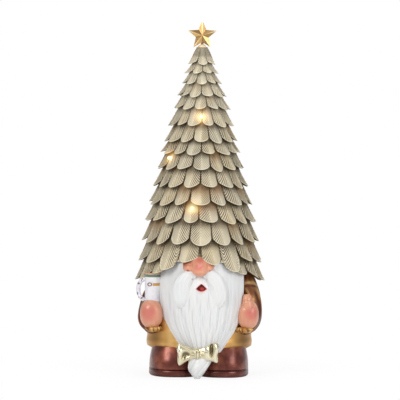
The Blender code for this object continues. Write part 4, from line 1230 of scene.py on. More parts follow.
        rows = max(16, round((root_z - self.row_z(row)) / self.spacings[1]))
        fall = np.linspace(0, 1, rows)[:, None]
        signed = np.clip(across - bias * np.clip(1.6 * fall - 0.6, 0, 1), -1, 1)
        skewed = np.abs(signed)
        z = root_z + (edge_z[None, :] - root_z) * fall
        line = tip_radius - self.slope(row) * (z - tip_z)
        line = line + (root_radius - line[0:1]) * (1 - fall) ** 2
        fold = self.ridge * skewed**1.1 * (0.35 + 0.65 * fall)
        fold = fold + 0.9 * smoothstep(0.90, 1.0, skewed) * fall**0.5
        turned = scatter(1.2) * across * (1 - across**8)
        vein_pitch = self.between(self.vein_pitches, row)
        distance = skewed * half / vein_pitch
        length = (z - tip_z) / vein_pitch
        veins = np.sin((length + distance * self.vein_slope) * 2 * math.pi)
        above = z - edge_z[None, :]
        calm = smoothstep(0.05, 0.25, fall) * smoothstep(0.3, 1.6, above)
        r = line - fold + (turned[None, :] + scatter(0.6)[None, :] * inner[None, :]) * fall**2
        r = r + (self.vein_height * veins + self.rib_height * bump(0.0, 0.06, skewed)) * calm
        r = r + self.rim_height * smoothstep(2.2, 0.6, above) + 0.6 * fall**8

        back_fall = np.array([1.0, 0.75, 0.45, 0.15])[:, None]
        back_z = root_z + (edge_z[None, :] - root_z) * back_fall + 0.35
        back_r = tip_radius - self.slope(row) * (back_z - tip_z)
        back_r = back_r + (root_radius - back_r[-1:]) * (1 - back_fall) ** 2 * 0.5
        back_r = back_r - self.ridge * (tip**1.1)[None, :] * (0.35 + 0.65 * back_fall) - self.thickness
        all_z = np.concatenate([z, z[-1:] - 0.25, back_z])
        all_r = np.concatenate([r, r[-1:] - self.thickness * 0.5, back_r])
        grid = about_axis(all_r, angle, all_z)

        behind = np.ones((len(back_fall) + 1, len(across)))
        height = np.concatenate([(z - tip_z) / shown, behind * 1.2])
        parts = (distance, length, above)
        marks = np.stack([np.concatenate([part, behind * 9.0]) for part in parts], axis=-1)
        share = np.concatenate([-np.sign(outer + 1e-9) * signed, behind * 0.5])
        own = np.repeat(chance.uniform(0, 1, count), columns)[None, :] + 0 * share
        return Surface(
            f"leaf_row_{row + 1}", grid, Ends.JOINED, marks, np.stack([share, own, height], axis=-1), 75.0
        )

    def core_surface(self) -> Surface:
        """Cone behind the rows, from the brim's underside to the tip: rings through the leaf roots.

        Returns:
            The closed surface.
        """
        rings = [(self.brim_z + 12.0, self.brim_radius - 19.0)]
        rings += [self.root_ring(row) for row in range(len(self.shares) - 1, 0, -1)]
        rings = [(z, r - 0.6) for z, r in rings]
        rings.append((self.top_z + self.tip_height + 0.9, 2.2))
        angle = turn_angles(64)
        z = np.array([ring[0] for ring in rings])[:, None] + 0 * angle
        r = np.array([ring[1] for ring in rings])[:, None] + 0 * angle
        lowest = np.array([1.0] + [0.0] * (len(rings) - 1))[:, None]
        rise = self.lift(len(self.shares) - 1, angle)[None, :] * lowest
        return Surface("hat_core", about_axis(r, angle, z + rise))

    def collar_surface(self) -> Surface:
        """Small dome at the tip, under the star: its radius is cos^0.7 and its height sin of a quarter turn.

        Returns:
            The closed surface.
        """
        turn = np.linspace(0, 1, 14)[:, None]
        angle = turn_angles(32)[None, :]
        z = self.top_z + self.tip_height - 3.0 + 6.2 * np.sin(turn * math.pi / 2) + 0 * angle
        r = (self.tip_radius - 0.8) * np.cos(turn * math.pi / 2) ** 0.7 + 0.15 + 0 * angle
        return Surface("hat_collar", about_axis(r, angle, z))

    def build(self) -> None:
        """Make the rows in four pieces, the core behind them and the collar on top."""
        leaves = LeafGlitter(self.vein_slope).material()
        chance = np.random.default_rng(SEED)
        groups = (
            ("hat_leaves_top", range(0, 7)),
            ("hat_leaves_upper", range(7, 10)),
            ("hat_leaves_lower", range(10, 13)),
            ("hat_leaves_brim", range(13, 15)),
        )
        for name, rows in groups:
            made = [self.row_surface(row, chance).build() for row in rows]
            finish_casting(join(name, made), leaves)
        finish_casting(self.core_surface().build(), HatShadow().material())
        cream = GoldPaint("collar_gold", paint(236, 208, 158), paint(255, 240, 208), metallic=0.2, grain=2.0)
        finish_casting(self.collar_surface().build(), cream.material())


@dataclass
class Face:
    """Nose between two cheek lobes that run into one another, just under the hat's front leaves."""

    nose_z: float = 125.5
    nose_front: float = 78.5
    nose_halves: Lengths = (10.0, 15.0, 11.5)
    nose_lean: float = 7.5
    cheek_places: tuple[float, float] = (-11.6, 9.0)
    cheek_drop: float = 1.2
    cheek_halves: Lengths = (6.4, 8.2, 6.2)
    span: float = 19.0
    blend: float = 1.3

    def nose_height(self, x: np.ndarray, z: np.ndarray) -> np.ndarray:
        """Half ellipse across, whose width and depth are curves of the height; it leans back upwards.

        Args:
            x: Sideways places.
            z: Heights.

        Returns:
            Distance in front of the nose's middle plane.
        """
        share = np.clip((z - self.nose_z) / self.nose_halves[2] / 2 + 0.5, 0, 1)
        stops = (0.0, 0.05, 0.18, 0.38, 0.62, 0.82, 1.0)
        wide = curve(stops, (0.12, 0.50, 0.88, 1.0, 0.98, 0.94, 0.90), share) * self.nose_halves[0]
        deep = curve(stops, (0.05, 0.50, 0.86, 0.98, 0.88, 0.62, 0.36), share) * self.nose_halves[1]
        return self.dome(np.abs(x) / wide) * deep - self.lean(z)

    def lean(self, z: np.ndarray) -> np.ndarray:
        """Distance by which the face lies back above the nose's middle."""
        return self.nose_lean * np.clip((z - self.nose_z) / self.nose_halves[2], 0, 1.4)

    def cheek_height(self, place: float, x: np.ndarray, z: np.ndarray) -> np.ndarray:
        """Ellipsoid cap.

        Args:
            place: Sideways place of its middle.
            x: Sideways places to read.
            z: Heights to read.

        Returns:
            Distance in front of the nose's middle plane.
        """
        half_x, deep, half_z = self.cheek_halves
        across = (x - place) / half_x
        up = (z - self.nose_z + self.cheek_drop) / half_z
        return self.dome(np.hypot(across, up)) * deep

    def dome(self, reach: np.ndarray) -> np.ndarray:
        """Quarter circle out to a reach of 1, then a slope that sinks under the beard."""
        return np.sqrt(np.clip(1 - reach**2, 0, 1)) - 3.0 * np.clip(reach - 1, 0, None)

    def surface(self) -> Surface:
        """Front face over an even grid, and a flat back inside the beard.

        The height is the smooth largest of nose, lobes and a low bridge between them:
        k ln(sum of e^(h / k)). The third mark is painted shade in the crease where nose and lobe
        are level and on the upper sides, under the hat's leaves.

        Returns:
            The closed surface.
        """
        rows, wide, back = 60, 76, 12
        z = (self.nose_z + np.linspace(-14.0, 15.0, rows))[:, None]
        x = np.linspace(-self.span, self.span, wide)[None, :]
        nose = self.nose_height(x, z + 0 * x)
        cheeks = [self.cheek_height(place, x, z) for place in self.cheek_places]
        bridge = self.dome(np.hypot((x + 1.2) / 16.0, (z - self.nose_z - 2.0) / 9.0)) * 5.2
        bridge = bridge - 0.5 * self.lean(z)
        heights = np.stack([nose, *cheeks, bridge])
        height = self.blend * np.log(np.exp(np.clip(heights, -20, 40) / self.blend).sum(axis=0))
        height = np.clip(height, -12.0, None)
        front = self.nose_front - self.nose_halves[1] + height
        behind = np.linspace(self.span, -self.span, back)[None, :] + 0 * z
        all_x = np.concatenate([x + 0 * z, behind], axis=1)
        all_y = np.concatenate([front, 0 * behind + self.nose_front - self.nose_halves[1] - 14.0], axis=1)
        grid = np.stack([all_x, AXIS_MM - all_y, z + 0 * all_x], axis=-1) * MM
        level = np.maximum(cheeks[0], cheeks[1])
        # painted shade in the crease between nose and lobes
        crease = 0.7 * bump(0.0, 1.6, nose - level) * smoothstep(1.0, 4.0, level)
        # painted shade on the upper sides, under the hat's leaves
        aside = smoothstep(6.0, 11.0, np.abs(x)) * smoothstep(-2.0, 2.5, z - self.nose_z)
        shade = np.concatenate([0.55 * crease + 0.8 * aside, 0 * behind], axis=1)
        return Surface("face", grid, marks=painted_shade_marks(shade, grid), crease=80.0)

    def build(self) -> None:
        """Make the three lobes as one piece."""
        y = AXIS_MM - self.nose_front
        skin = Skin(
            "face_skin",
            paint(216, 148, 118),
            paint(208, 112, 98),
            paint(226, 162, 128),
            patches=((-0.9, y + 1.0, self.nose_z + 1.5, 8.0), (0.0, y + 10.0, self.nose_z + 7.0, 8.0)),
            dots=((-13.2, y + 8.5, 121.6, 2.3), (11.4, y + 8.5, 120.4, 2.3)),
        )
        finish_casting(self.surface().build(), skin.material())


@dataclass
class Beard:
    """Long beard with combed strands, moustache lobes, an open mouth, and the tuft under the bow."""

    x: float = 2.0
    top_z: float = 138.5
    knot_z: float = 28.5
    front: float = 69.0
    half_width: float = 47.2
    edge_back: float = 27.0
    nose_base: float = 114.0
    lean: float = 2.2
    mouth: Mouth = Mouth()
    tuft_halves: tuple[float, float] = (12.4, 7.5)
    lobe_spread: float = 20.5
    lobe_length: float = 35.0
    lobe_half: float = 9.5
    lobe_depth: float = 5.0
    mouth_depth: float = 3.6
    strand_height: float = 0.75

    def half(self, share: np.ndarray) -> np.ndarray:
        """Half width from the top edge at 0 to the knot at 1."""
        stops = (0.0, 0.20, 0.41, 0.58, 0.72, 0.83, 0.92, 1.0)
        return self.half_width * curve(stops, (0.94, 1.0, 1.0, 0.96, 0.86, 0.71, 0.56, 0.42), share)

    def depth(self, share: np.ndarray) -> np.ndarray:
        """Distance of the middle line in front of the axis."""
        stops = (0.0, 0.10, 0.22, 0.45, 0.72, 1.0)
        return self.front * curve(stops, (0.86, 0.92, 0.965, 1.0, 0.985, 0.955), share)

    def strands(self, across: np.ndarray, fall: np.ndarray) -> np.ndarray:
        """Relief of combed hair from -1 in a groove to 1 on a strand.

        Three sines of the place across, whose phases wander down the beard, so that
        strands swell, thin and join as they fall.

        Args:
            across: Place across the beard, -1 to 1.
            fall: Share of the way down.

        Returns:
            The relief at each point.
        """
        sway = 0.9 * np.sin(2.1 * math.pi * fall + 2.0 * across) + 0.5 * np.sin(5.3 * math.pi * fall)
        broad = np.sin(2 * math.pi * 4.5 * across + sway)
        middle = np.sin(2 * math.pi * 10.5 * across - 1.4 * sway + 1.0)
        fine = np.sin(2 * math.pi * 24 * across + 1.9 * sway + 3 * np.sin(3 * math.pi * fall))
        return 0.42 * broad + 0.34 * middle + 0.24 * fine

    def shield_surface(self) -> Surface:
        """Front face combed into strands, with a flat back that lies inside the coat.

        A point at across (-1 to 1) and fall (0 to 1) lies across times the half width aside, and
        in front by the depth less a drop of |across|^2.3, plus the strands. The mouth's edge is the
        smooth largest of its slants and its lower side: k ln(e^(slope / k) + e^(under / k)). Inside
        it the face sinks by a smooth step, with a rounded lip round it.

        Returns:
            The closed surface.
        """
        rows, wide, back = 150, 170, 24
        fall = np.linspace(0, 1, rows)[:, None]
        across = np.linspace(-1, 1, wide)[None, :]
        half = self.half(fall)
        drop = np.minimum(self.edge_back, 0.62 * half) * np.abs(across) ** 2.3
        relief = self.strands(across, fall)
        calm = smoothstep(0.0, 0.12, fall) * (0.30 + 0.70 * smoothstep(0.25, 0.5, fall))
        x = self.x + self.lean * fall**2 + across * half
        z = self.top_z - (self.top_z - self.knot_z) * fall + 0 * across
        y = self.depth(fall) - drop + self.strand_height * relief * calm
        mouth = self.mouth
        aside = np.sqrt((x - mouth.centre) ** 2 + mouth.rounding)
        slope = (aside * mouth.rise() + (z - mouth.high) * mouth.half_width) / mouth.slant()
        under = np.clip(mouth.low + mouth.sag * aside**2 - z, -30, 30)
        edge = 0.6 * np.log(np.exp(np.clip(slope, -30, 30) / 0.6) + np.exp(under / 0.6))
        y = y - self.mouth_depth * smoothstep(0.8, -1.8, edge) + 0.8 * bump(1.2, 1.0, edge)
        y = y + 0.8 * bump(mouth.low - 0.6, 1.4, z) * bump(mouth.centre, 4.5, x)
        behind = np.linspace(1, -1, back)[None, :]
        back_x = self.x + self.lean * fall**2 + behind * half * 0.8
        all_x = np.concatenate([x, back_x], axis=1)
        all_y = np.concatenate([y, self.front - self.edge_back - 20.0 + 0 * back_x], axis=1)
        all_z = np.concatenate([z, z[:, :1] + 0 * back_x], axis=1)
        # painted shade in the grooves between strands, none inside the mouth
        shade = np.clip(0.5 - 0.5 * relief * calm, 0, 1) * smoothstep(0.0, 1.0, edge)
        grid = np.stack([all_x, AXIS_MM - all_y, all_z], axis=-1) * MM
        marks = painted_shade_marks(np.concatenate([shade, 0 * back_x], axis=1), grid)
        return Surface("beard", grid, marks=marks, crease=80.0)

    def lobe_surface(self, side: int) -> Surface:
        """Moustache lobe: an ellipse swept from under the nose, out and down beside the mouth.

        Args:
            side: -1 or 1.

        Returns:
            The closed surface, combed by two sines of the place round the ellipse.
        """
        y = AXIS_MM - self.front + 1.0
        stops = [
            (side * self.lobe_spread * spread, y + back, self.nose_base - self.lobe_length * drop)
            for spread, drop, back in (
                (0.20, -0.06, 0.5), (0.54, -0.06, 1.0), (0.88, 0.17, 2.0),
                (1.0, 0.49, 2.8), (0.95, 0.77, 3.6), (0.84, 1.0, 5.4),
            )
        ]
        widths = tuple(self.lobe_half * share for share in (0.32, 0.70, 0.98, 1.05, 0.95, 0.45))
        depths = tuple(self.lobe_depth * share for share in (0.45, 0.80, 1.0, 0.95, 0.80, 0.40))
        grid, outward, share, angle = limb(stops, widths, depths, 90, 84)
        comb = np.cos(angle)[None, :]
        sway = np.sin(2.2 * math.pi * share)[:, None]
        relief = 0.55 * np.sin(2 * math.pi * 1.8 * comb + 2.4 * sway)
        relief = relief + 0.45 * np.sin(2 * math.pi * 5.3 * comb - 2 * sway)
        fade = (smoothstep(0.05, 0.3, share) * smoothstep(1.0, 0.9, share))[:, None]
        grid = grid + outward * (0.35 * relief * fade)[..., None]
        # painted shade in the combed grooves
        marks = painted_shade_marks(0.40 - 0.35 * relief * fade, grid)
        return Surface("moustache", grid * MM, marks=marks, crease=80.0)

    def tuft_surface(self) -> Surface:
        """End of the beard under the bow: ellipses that shrink to the floor, grooved on a slant.

        The grooves are sines of five times the angle less a twist that grows with the height.

        Returns:
            The closed surface.
        """
        rows, columns = 60, 72
        share = np.linspace(0, 1, rows)
        stops = (0.0, 0.105, 0.35, 0.667, 1.0)
        wide = self.tuft_halves[0] * curve(stops, (0.24, 0.44, 0.80, 1.0, 1.05), share)
        deep = self.tuft_halves[1] * curve(stops, (0.50, 0.78, 1.0, 0.95, 0.75), share)
        middle = curve(stops, (-1.8, -1.8, -1.2, 1.0, 2.0), share)
        set_back = curve(stops, (0.0, 0.0, 0.0, 1.0, 1.5), share)
        angle = turn_angles(columns)
        z = (self.knot_z * share)[:, None] + 0 * angle
        twist = 5 * angle[None, :] - 7.5 * share[:, None]
        relief = 0.7 * np.sin(twist) + 0.3 * np.sin(3 * twist + 1.3)
        swell = 1 + 0.07 * relief * smoothstep(0.0, 0.25, share)[:, None]
        x = middle[:, None] + wide[:, None] * np.sin(angle) * swell
        y = AXIS_MM - (self.front - 3.5 - set_back)[:, None] - deep[:, None] * np.cos(angle) * swell
        grid = np.stack([x, y, z], axis=-1) * MM
        # painted shade in the slanted grooves
        return Surface("tuft", grid, marks=painted_shade_marks(0.40 - 0.6 * relief, grid), crease=80.0)

    def build(self) -> None:
        """Make the shield with its mouth, and the lobes and tuft."""
        finish_casting(self.shield_surface().build(), Hair("beard_paint", mouth=self.mouth).material())
        lobes = join("moustache", [self.lobe_surface(-1).build(), self.lobe_surface(1).build()])
        plain = Hair("hair_paint").material()
        finish_casting(lobes, plain)
        finish_casting(self.tuft_surface().build(), plain)


@dataclass
class Coat:
    """Oval coat with a flared hem, sleeves with folds, and gathered cuffs."""

    hem_z: float = 30.4
    half_width: float = 59.2
    half_depth: float = 52.0
    squareness: float = 2.3
    head_top_z: float = 148.0
    arm_x: float = 55.5
    sleeve_radius: float = 15.0
    cuff_x: float = 50.7
    cuff_y: float = -40.0
    cuff_z: float = 53.0
    cuff_radius: float = 10.2
    cuff_height: float = 6.4
    shoulder_rise: float = 51.2
    fold_depth: float = 0.55

    def body_surface(self) -> Surface:
        """Superellipse rings, almost smooth, with a rolled hem.

        A ring's point at an angle lies at sin^(2/n) times the half width and cos^(2/n) times the
        half depth, both curves of the height. The painted shade is darker at the sides, on the upper
        part and in the folds near the hem, and lighter beside the beard as a painted reflection.

        Returns:
            The closed surface.
        """
        rows, columns = 90, 180
        stops = (0.0, 0.0116, 0.0376, 0.116, 0.335, 0.67, 1.0)
        share = np.linspace(0, 1, rows) ** 1.15
        z = self.hem_z + (self.head_top_z - self.hem_z) * share
        wide = curve(stops, (0.948, 0.988, 1.005, 0.997, 1.0, 0.93, 0.79), share) * self.half_width
        deep = curve(stops, (0.940, 0.988, 1.006, 0.996, 1.0, 0.97, 0.90), share) * self.half_depth
        angle = turn_angles(columns)[None, :]
        folds = 0.6 * np.sin(5 * angle + 0.8 * np.sin(3 * angle)) + 0.4 * np.sin(9 * angle + 1.0)
        deepen = (smoothstep(0.45, 0.1, share) * 0.5)[:, None]
        power = 2 / self.squareness
        x = wide[:, None] * np.sign(np.sin(angle)) * np.abs(np.sin(angle)) ** power
        y = -deep[:, None] * np.sign(np.cos(angle)) * np.abs(np.cos(angle)) ** power
        grow = 1 + 0.010 * folds * deepen
        grid = np.stack([x * grow, AXIS_MM + y * grow, z[:, None] + 0 * x], axis=-1) * MM
        aside = np.abs(x) / self.half_width
        # painted shade at the sides, and a painted reflection beside the beard
        shade = 0.46 * bump(0.82, 0.20, aside) - 0.20 * bump(0.56, 0.15, aside)
        # painted shade on the upper coat, behind the beard and arms and under the hat
        upper = smoothstep(0.35, 0.6, share)[:, None]
        # painted shade in the folds near the hem
        return Surface("coat", grid, marks=painted_shade_marks(0.30 + shade - 0.2 * folds * deepen + upper, grid))

    def sleeve_surface(self, side: int) -> Surface:
        """Sleeve from the shoulder to the cuff: an ellipse swept along the arm, in long slanted folds.

        The folds are two sines of the angle round the arm plus a slant that grows along it.

        Args:
            side: -1 or 1.

        Returns:
            The closed surface.
        """
        y, z = AXIS_MM, self.cuff_z
        stops = [
            (side * (self.arm_x - inset), y + self.cuff_y * reach, z + self.shoulder_rise * share)
            for inset, reach, share in (
                (9.0, 0.20, 1.21), (3.5, 0.30, 0.88), (0.5, 0.43, 0.58),
                (0.5, 0.58, 0.25), (4.0, 0.75, 0.10), (6.0, 0.93, 0.06),
            )
        ]
        if side < 0:
            stops = [(x + inward, y, z) for (x, y, z), inward in zip(stops, (2.0, 8.0, 4.5, 0.5, 0.0, 0.0))]
        widths = tuple(self.sleeve_radius * part for part in (0.80, 0.92, 1.0, 0.98, 0.80, 0.54))
        depths = tuple(self.sleeve_radius * part for part in (0.85, 1.0, 1.06, 0.98, 0.76, 0.50))
        grid, outward, share, angle = limb(stops, widths, depths, 100, 80)
        slant = 2.2 * share[:, None]
        folds = np.sin(7 * angle[None, :] * side + 2 * math.pi * slant)
        folds = folds + 0.5 * np.sin(12 * angle[None, :] + 3 * slant)
        strength = (0.25 + 0.75 * smoothstep(0.15, 0.40, share))[:, None]
        grid = grid + outward * (self.fold_depth * folds * strength)[..., None]
        # painted shade on the lower sleeve, beside the fists
        under = 0.5 * smoothstep(0.30, 0.55, share)[:, None]
        place = share[:, None] + 0.06 * np.sin(angle[None, :] * side)
        # a pale line of painted highlight above a dark line of painted shade, the lit and shaded sides of a
        # fold, and painted shade near the shoulder
        band = 0.7 * bump(0.27, 0.018, place) - 0.9 * bump(0.225, 0.022, place)
        band = band + 0.3 * smoothstep(0.2, 0.05, place)
        # painted shade in the dips of the folds
        marks = painted_shade_marks(0.48 - self.fold_depth * folds * strength + under + band, grid)
        return Surface("sleeve", grid * MM, marks=marks)

    def cuff_surface(self, side: int) -> Surface:
        """Ruffle: a ring whose radius ripples with uneven gathers, fullest in its middle.

        Args:
            side: -1 or 1.

        Returns:
            The closed surface.
        """
        rows, columns = 22, 120
        share = np.linspace(0, 1, rows)
        angle = turn_angles(columns)
        flare = curve((0.0, 0.35, 0.75, 1.0), (0.70, 0.95, 1.02, 0.86), share)[:, None]
        uneven = angle + 0.22 * np.sin(3 * angle + side)
        ripple = 0.5 * np.sin(9 * uneven) + 0.5 * np.sin(14 * uneven + 0.7 + 2.5 * share[:, None])
        full = (np.sin(math.pi * np.clip(share, 0.05, 0.95)) ** 0.6)[:, None]
        r = (self.cuff_radius - 0.7) * flare * (1 + 0.08 * ripple * full)
        x = side * self.cuff_x + r * np.sin(angle)
        y = AXIS_MM + self.cuff_y - 0.92 * r * np.cos(angle)
        z = self.cuff_z + self.cuff_height * (share[:, None] - 0.5) + 0.6 * ripple * full
        grid = np.stack([x, y, z], axis=-1) * MM
        # painted shade between the gathers
        return Surface("cuff", grid, marks=painted_shade_marks(0.5 - 0.6 * ripple * full, grid))

    def build(self) -> None:
        """Make the body, the sleeves and the cuffs."""
        body = GoldPaint(
            "coat_gold",
            paint(204, 156, 88),
            paint(255, 232, 172),
            paint(104, 62, 26),
            metallic=0.65,
            roughness=0.33,
            relief=0.05,
            cloud=0.15,
        )
        finish_casting(self.body_surface().build(), body.material())
        # darker, browner gold: partly the sleeves' own paint and partly painted shade
        worn_and_shaded = GoldPaint(
            "sleeve_gold",
            paint(138, 80, 40),
            paint(240, 204, 138),
            paint(80, 30, 22),
            metallic=0.5,
            cloud=0.3,
        )
        sleeves = join("sleeves", [self.sleeve_surface(side).build() for side in (-1, 1)])
        finish_casting(sleeves, worn_and_shaded.material())
        cuffs = join("cuffs", [self.cuff_surface(side).build() for side in (-1, 1)])
        gathered = GoldPaint(
            "cuff_gold", paint(176, 118, 56), paint(246, 208, 132), paint(84, 44, 18), grain=2.0
        )
        finish_casting(cuffs, gathered.material())


@dataclass
class Hands:
    """Two round fists; the one at +X has its thumb up."""

    x: float = 53.7
    y: float = -40.0
    z: float = 70.3
    halves: Lengths = (13.0, 12.0, 16.4)
    thumb_radius: float = 4.8
    thumb_rise: float = 8.5

    def fist_surface(self, side: int) -> Surface:
        """Superellipsoid with three shallow grooves between the fingers on its outer front.

        Args:
            side: -1 or 1.

        Returns:
            The closed surface.
        """
        trim = 0.9 if side > 0 else 0.0
        centre = (side * (self.x + trim), AXIS_MM + self.y, self.z)
        halves = (self.halves[0] - trim, *self.halves[1:])
        grid, latitude, longitude = blob(centre, halves, 44, 60, 2.25)
        place = np.sin(longitude) * np.cos(latitude)
        grooves = sum(bump(at, 0.06, place) for at in (-0.42, 0.0, 0.42)) * (np.cos(longitude) > 0)
        grooves = grooves * smoothstep(-1.2, -0.6, latitude) * smoothstep(-0.1, -0.5, latitude)
        grid[..., 1] += 0.5 * grooves
        # painted shade in the finger grooves and under the fist
        marks = painted_shade_marks(0.30 * grooves + 0.6 * smoothstep(-0.9, -1.3, latitude), grid)
        return Surface("fist", grid * MM, marks=marks)

    def thumb_surface(self, side: int) -> Surface:
        """Thumb that stands up from the fist, a circle swept along four stops, creased at its joint.

        Args:
            side: -1 or 1.

        Returns:
            The closed surface.
        """
        x, y, radius = side * self.x, AXIS_MM + self.y, self.thumb_radius
        top = self.z + self.halves[2] + self.thumb_rise - radius / 2
        stops = [
            (x + side * 2.5, y - radius * 0.9, self.z + 4.0),
            (x + side * 1.0, y - radius * 1.15, self.z + self.halves[2] * 0.6),
            (x - side * 0.2, y - radius, top - radius + 0.8),
            (x - side * 0.6, y - radius * 0.9, top + 0.8),
        ]
        widths = tuple(radius * part for part in (1.45, 1.35, 1.15, 0.6))
        grid, outward, share, _ = limb(stops, widths, widths, 44, 32)
        crease = bump(0.56, 0.03, share) + 0.6 * bump(0.62, 0.02, share)
        grid = grid - outward * (0.35 * crease)[:, None, None]
        # painted shade in the crease at the joint
        return Surface("thumb", grid * MM, marks=painted_shade_marks((0.6 * crease)[:, None], grid))

    def build(self) -> None:
        """Make both hands."""
        front = AXIS_MM + self.y - self.halves[1]
        skin = Skin(
            "hand_skin",
            paint(208, 144, 114),
            paint(196, 104, 92),
            paint(220, 160, 130),
            patches=(
                (-self.x - 3.5, front + 1.0, self.z + 1.5, 14.0),
                (self.x + 5.0, front + 1.5, self.z + 2.0, 12.0),
            ),
        )
        parts = [self.fist_surface(-1), self.fist_surface(1), self.thumb_surface(1)]
        finish_casting(join("hands", [part.build() for part in parts]), skin.material())


@dataclass
class Mug:
    """Mug on the fist at -X, with its handle outwards."""

    x: float = -52.2
    y: float = -36.0
    radius: float = 9.8
    top: float = 116.5
    height: float = 37.0
    reach: float = 8.0
    handle_radius: float = 2.4

    def cup_surface(self) -> Surface:
        """Profile turned about its own axis: up the outside, over the lip and down to the drink.

        Returns:
            The closed surface.
        """
        bottom = self.top - self.height
        profile = [
            (0.5, bottom), (0.86, bottom), (0.90, bottom + 0.6), (0.94, bottom + 8.0), (0.97, bottom + 20.0),
            (0.985, self.top - 5.2), (1.0, self.top - 4.8), (1.0, self.top - 0.7), (0.985, self.top - 0.1),
            (0.95, self.top), (0.90, self.top - 0.5), (0.88, self.top - 2.4), (0.5, self.top - 2.2),
        ]
        angle = turn_angles(56)
        r = np.array([part * self.radius for part, _ in profile])[:, None]
        z = np.array([height for _, height in profile])[:, None] + 0 * angle
        x = self.x + r * np.sin(angle)
        y = AXIS_MM + self.y - r * np.cos(angle)
        return Surface("cup", np.stack([x, y, z], axis=-1) * MM)

    def handle_surface(self) -> Surface:
        """Half ring from the upper to the lower wall: a circle swept along half an ellipse.

        Returns:
            The closed surface.
        """
        middle = self.top - self.height * 0.52
        rise = self.height * 0.32
        turn = np.radians(np.linspace(-90, 90, 7))
        inner = self.x - self.radius + 1.0
        stops = [
            (inner - self.reach * math.cos(a), AXIS_MM + self.y, middle + rise * math.sin(a)) for a in turn
        ]
        radii = (self.handle_radius,) * len(stops)
        grid, _, _, _ = limb(stops, radii, radii, 36, 16)
        return Surface("handle", grid * MM)

    def build(self) -> None:
        """Make the mug."""
        glaze = MugGlaze(self.x, self.radius, self.top)
        parts = [self.cup_surface().build(), self.handle_surface().build()]
        finish_casting(join("mug", parts), glaze.material())


@dataclass
class Bow:
    """Two ribbon loops and a ridged knot at the end of the beard."""

    x: float = -1.2
    half_width: float = 22.7
    half_depth: float = 4.6
    front: float = 73.2
    z: float = 28.5
    knot: Lengths = (4.0, 5.1, 6.5)

    def folds(self, side: int, share: np.ndarray, up: np.ndarray) -> np.ndarray:
        """Relief of a loop's front in millimetres.

        The loop at -X has a rolled outer end, a flat top fold and a pocket sunk in its lower
        half. The loop at +X has two upright folds with a groove between them.

        Args:
            side: -1 or 1.
            share: Place from the knot out, 0 to 1.
            up: Place from the lower edge at -1 to the upper edge at 1.

        Returns:
            The relief at each point.
        """
        fan = 0.2 * np.sin(2 * math.pi * 2.2 * up + 4.0 * share) * smoothstep(0.6, 0.1, share)
        if side < 0:
            pocket = bump(0.60, 0.20, share) * bump(-0.15, 0.38, up)
            roll = bump(0.88, 0.09, share) * smoothstep(0.9, 0.2, up)
            fold = bump(0.52, 0.10, up - 0.45 * share) * smoothstep(0.05, 0.3, share)
            return 1.6 * roll + 1.0 * fold - 3.0 * pocket + fan
        first, second = bump(0.48, 0.10, share), bump(0.86, 0.08, share)
        return 1.5 * first + 1.8 * second - 2.4 * bump(0.67, 0.08, share) * smoothstep(-1.0, 0.3, up) + fan

    def loop_surface(self, side: int) -> Surface:
        """Loop between its upper and lower outlines, thickest in the middle of each section.

        Args:
            side: -1 or 1.

        Returns:
            The closed surface.
        """
        rows, columns = 64, 96
        share = np.linspace(0.05, 1, rows)[:, None]
        stops = (0.05, 0.30, 0.60, 0.85, 0.95, 1.0)
        if side < 0:
            top = curve(stops, (4.6, 6.4, 9.0, 11.5, 11.7, 10.4), share)
            low = curve(stops, (-4.6, -6.4, -9.4, -13.2, -13.0, -10.0), share)
        else:
            top = curve(stops, (4.6, 7.2, 10.2, 12.3, 12.2, 11.0), share)
            low = curve(stops, (-4.6, -6.2, -8.0, -9.6, -10.2, -9.4), share)
        deep = self.half_depth * curve(stops, (0.75, 0.88, 0.98, 0.95, 0.75, 0.35), share)
        angle = turn_angles(columns)
        up = np.cos(angle)[None, :]
        facing = np.sign(np.sin(angle)) * np.abs(np.sin(angle)) ** 0.6
        relief = self.folds(side, share, up) * smoothstep(0.0, 0.5, facing)[None, :]
        y = AXIS_MM - (self.front - self.half_depth) - deep * facing[None, :] - relief
        z = self.z + (top + low) / 2 + (top - low) / 2 * up
        bend = 0.9 * np.sin(math.pi * up) * share
        x = self.x + side * (self.half_width * share + bend * smoothstep(0.6, 1.0, share))
        grid = np.stack([x, y, z], axis=-1) * MM
        # painted shade in the dips of the folds and painted highlight on their crests
        return Surface("bow_loop", grid, marks=painted_shade_marks(0.30 - 0.40 * relief, grid), crease=70.0)

    def knot_surface(self) -> Surface:
        """Superellipsoid with three upright ridges, as a cosine of the sideways place.

        Returns:
            The closed surface.
        """
        centre = (self.x, AXIS_MM - (self.front - self.half_depth), self.z)
        grid, latitude, longitude = blob(centre, self.knot, 30, 44, 2.6)
        ridges = np.cos(2 * math.pi * 1.5 * np.sin(longitude)) * np.cos(latitude) * (np.cos(longitude) > 0)
        grid[..., 1] -= 0.6 * ridges
        # painted shade between the ridges and painted highlight on them
        return Surface("bow_knot", grid * MM, marks=painted_shade_marks(0.4 - 0.5 * ridges, grid))

    def build(self) -> None:
        """Make the bow."""
        foil = GoldPaint(
            "bow_foil",
            paint(216, 205, 170),
            paint(255, 250, 226),
            paint(88, 76, 46),
            metallic=0.8,
            roughness=0.2,
            grain=4.0,
            relief=0.02,
        )
        parts = [self.loop_surface(-1), self.loop_surface(1), self.knot_surface()]
        finish_casting(join("bow", [part.build() for part in parts]), foil.material())


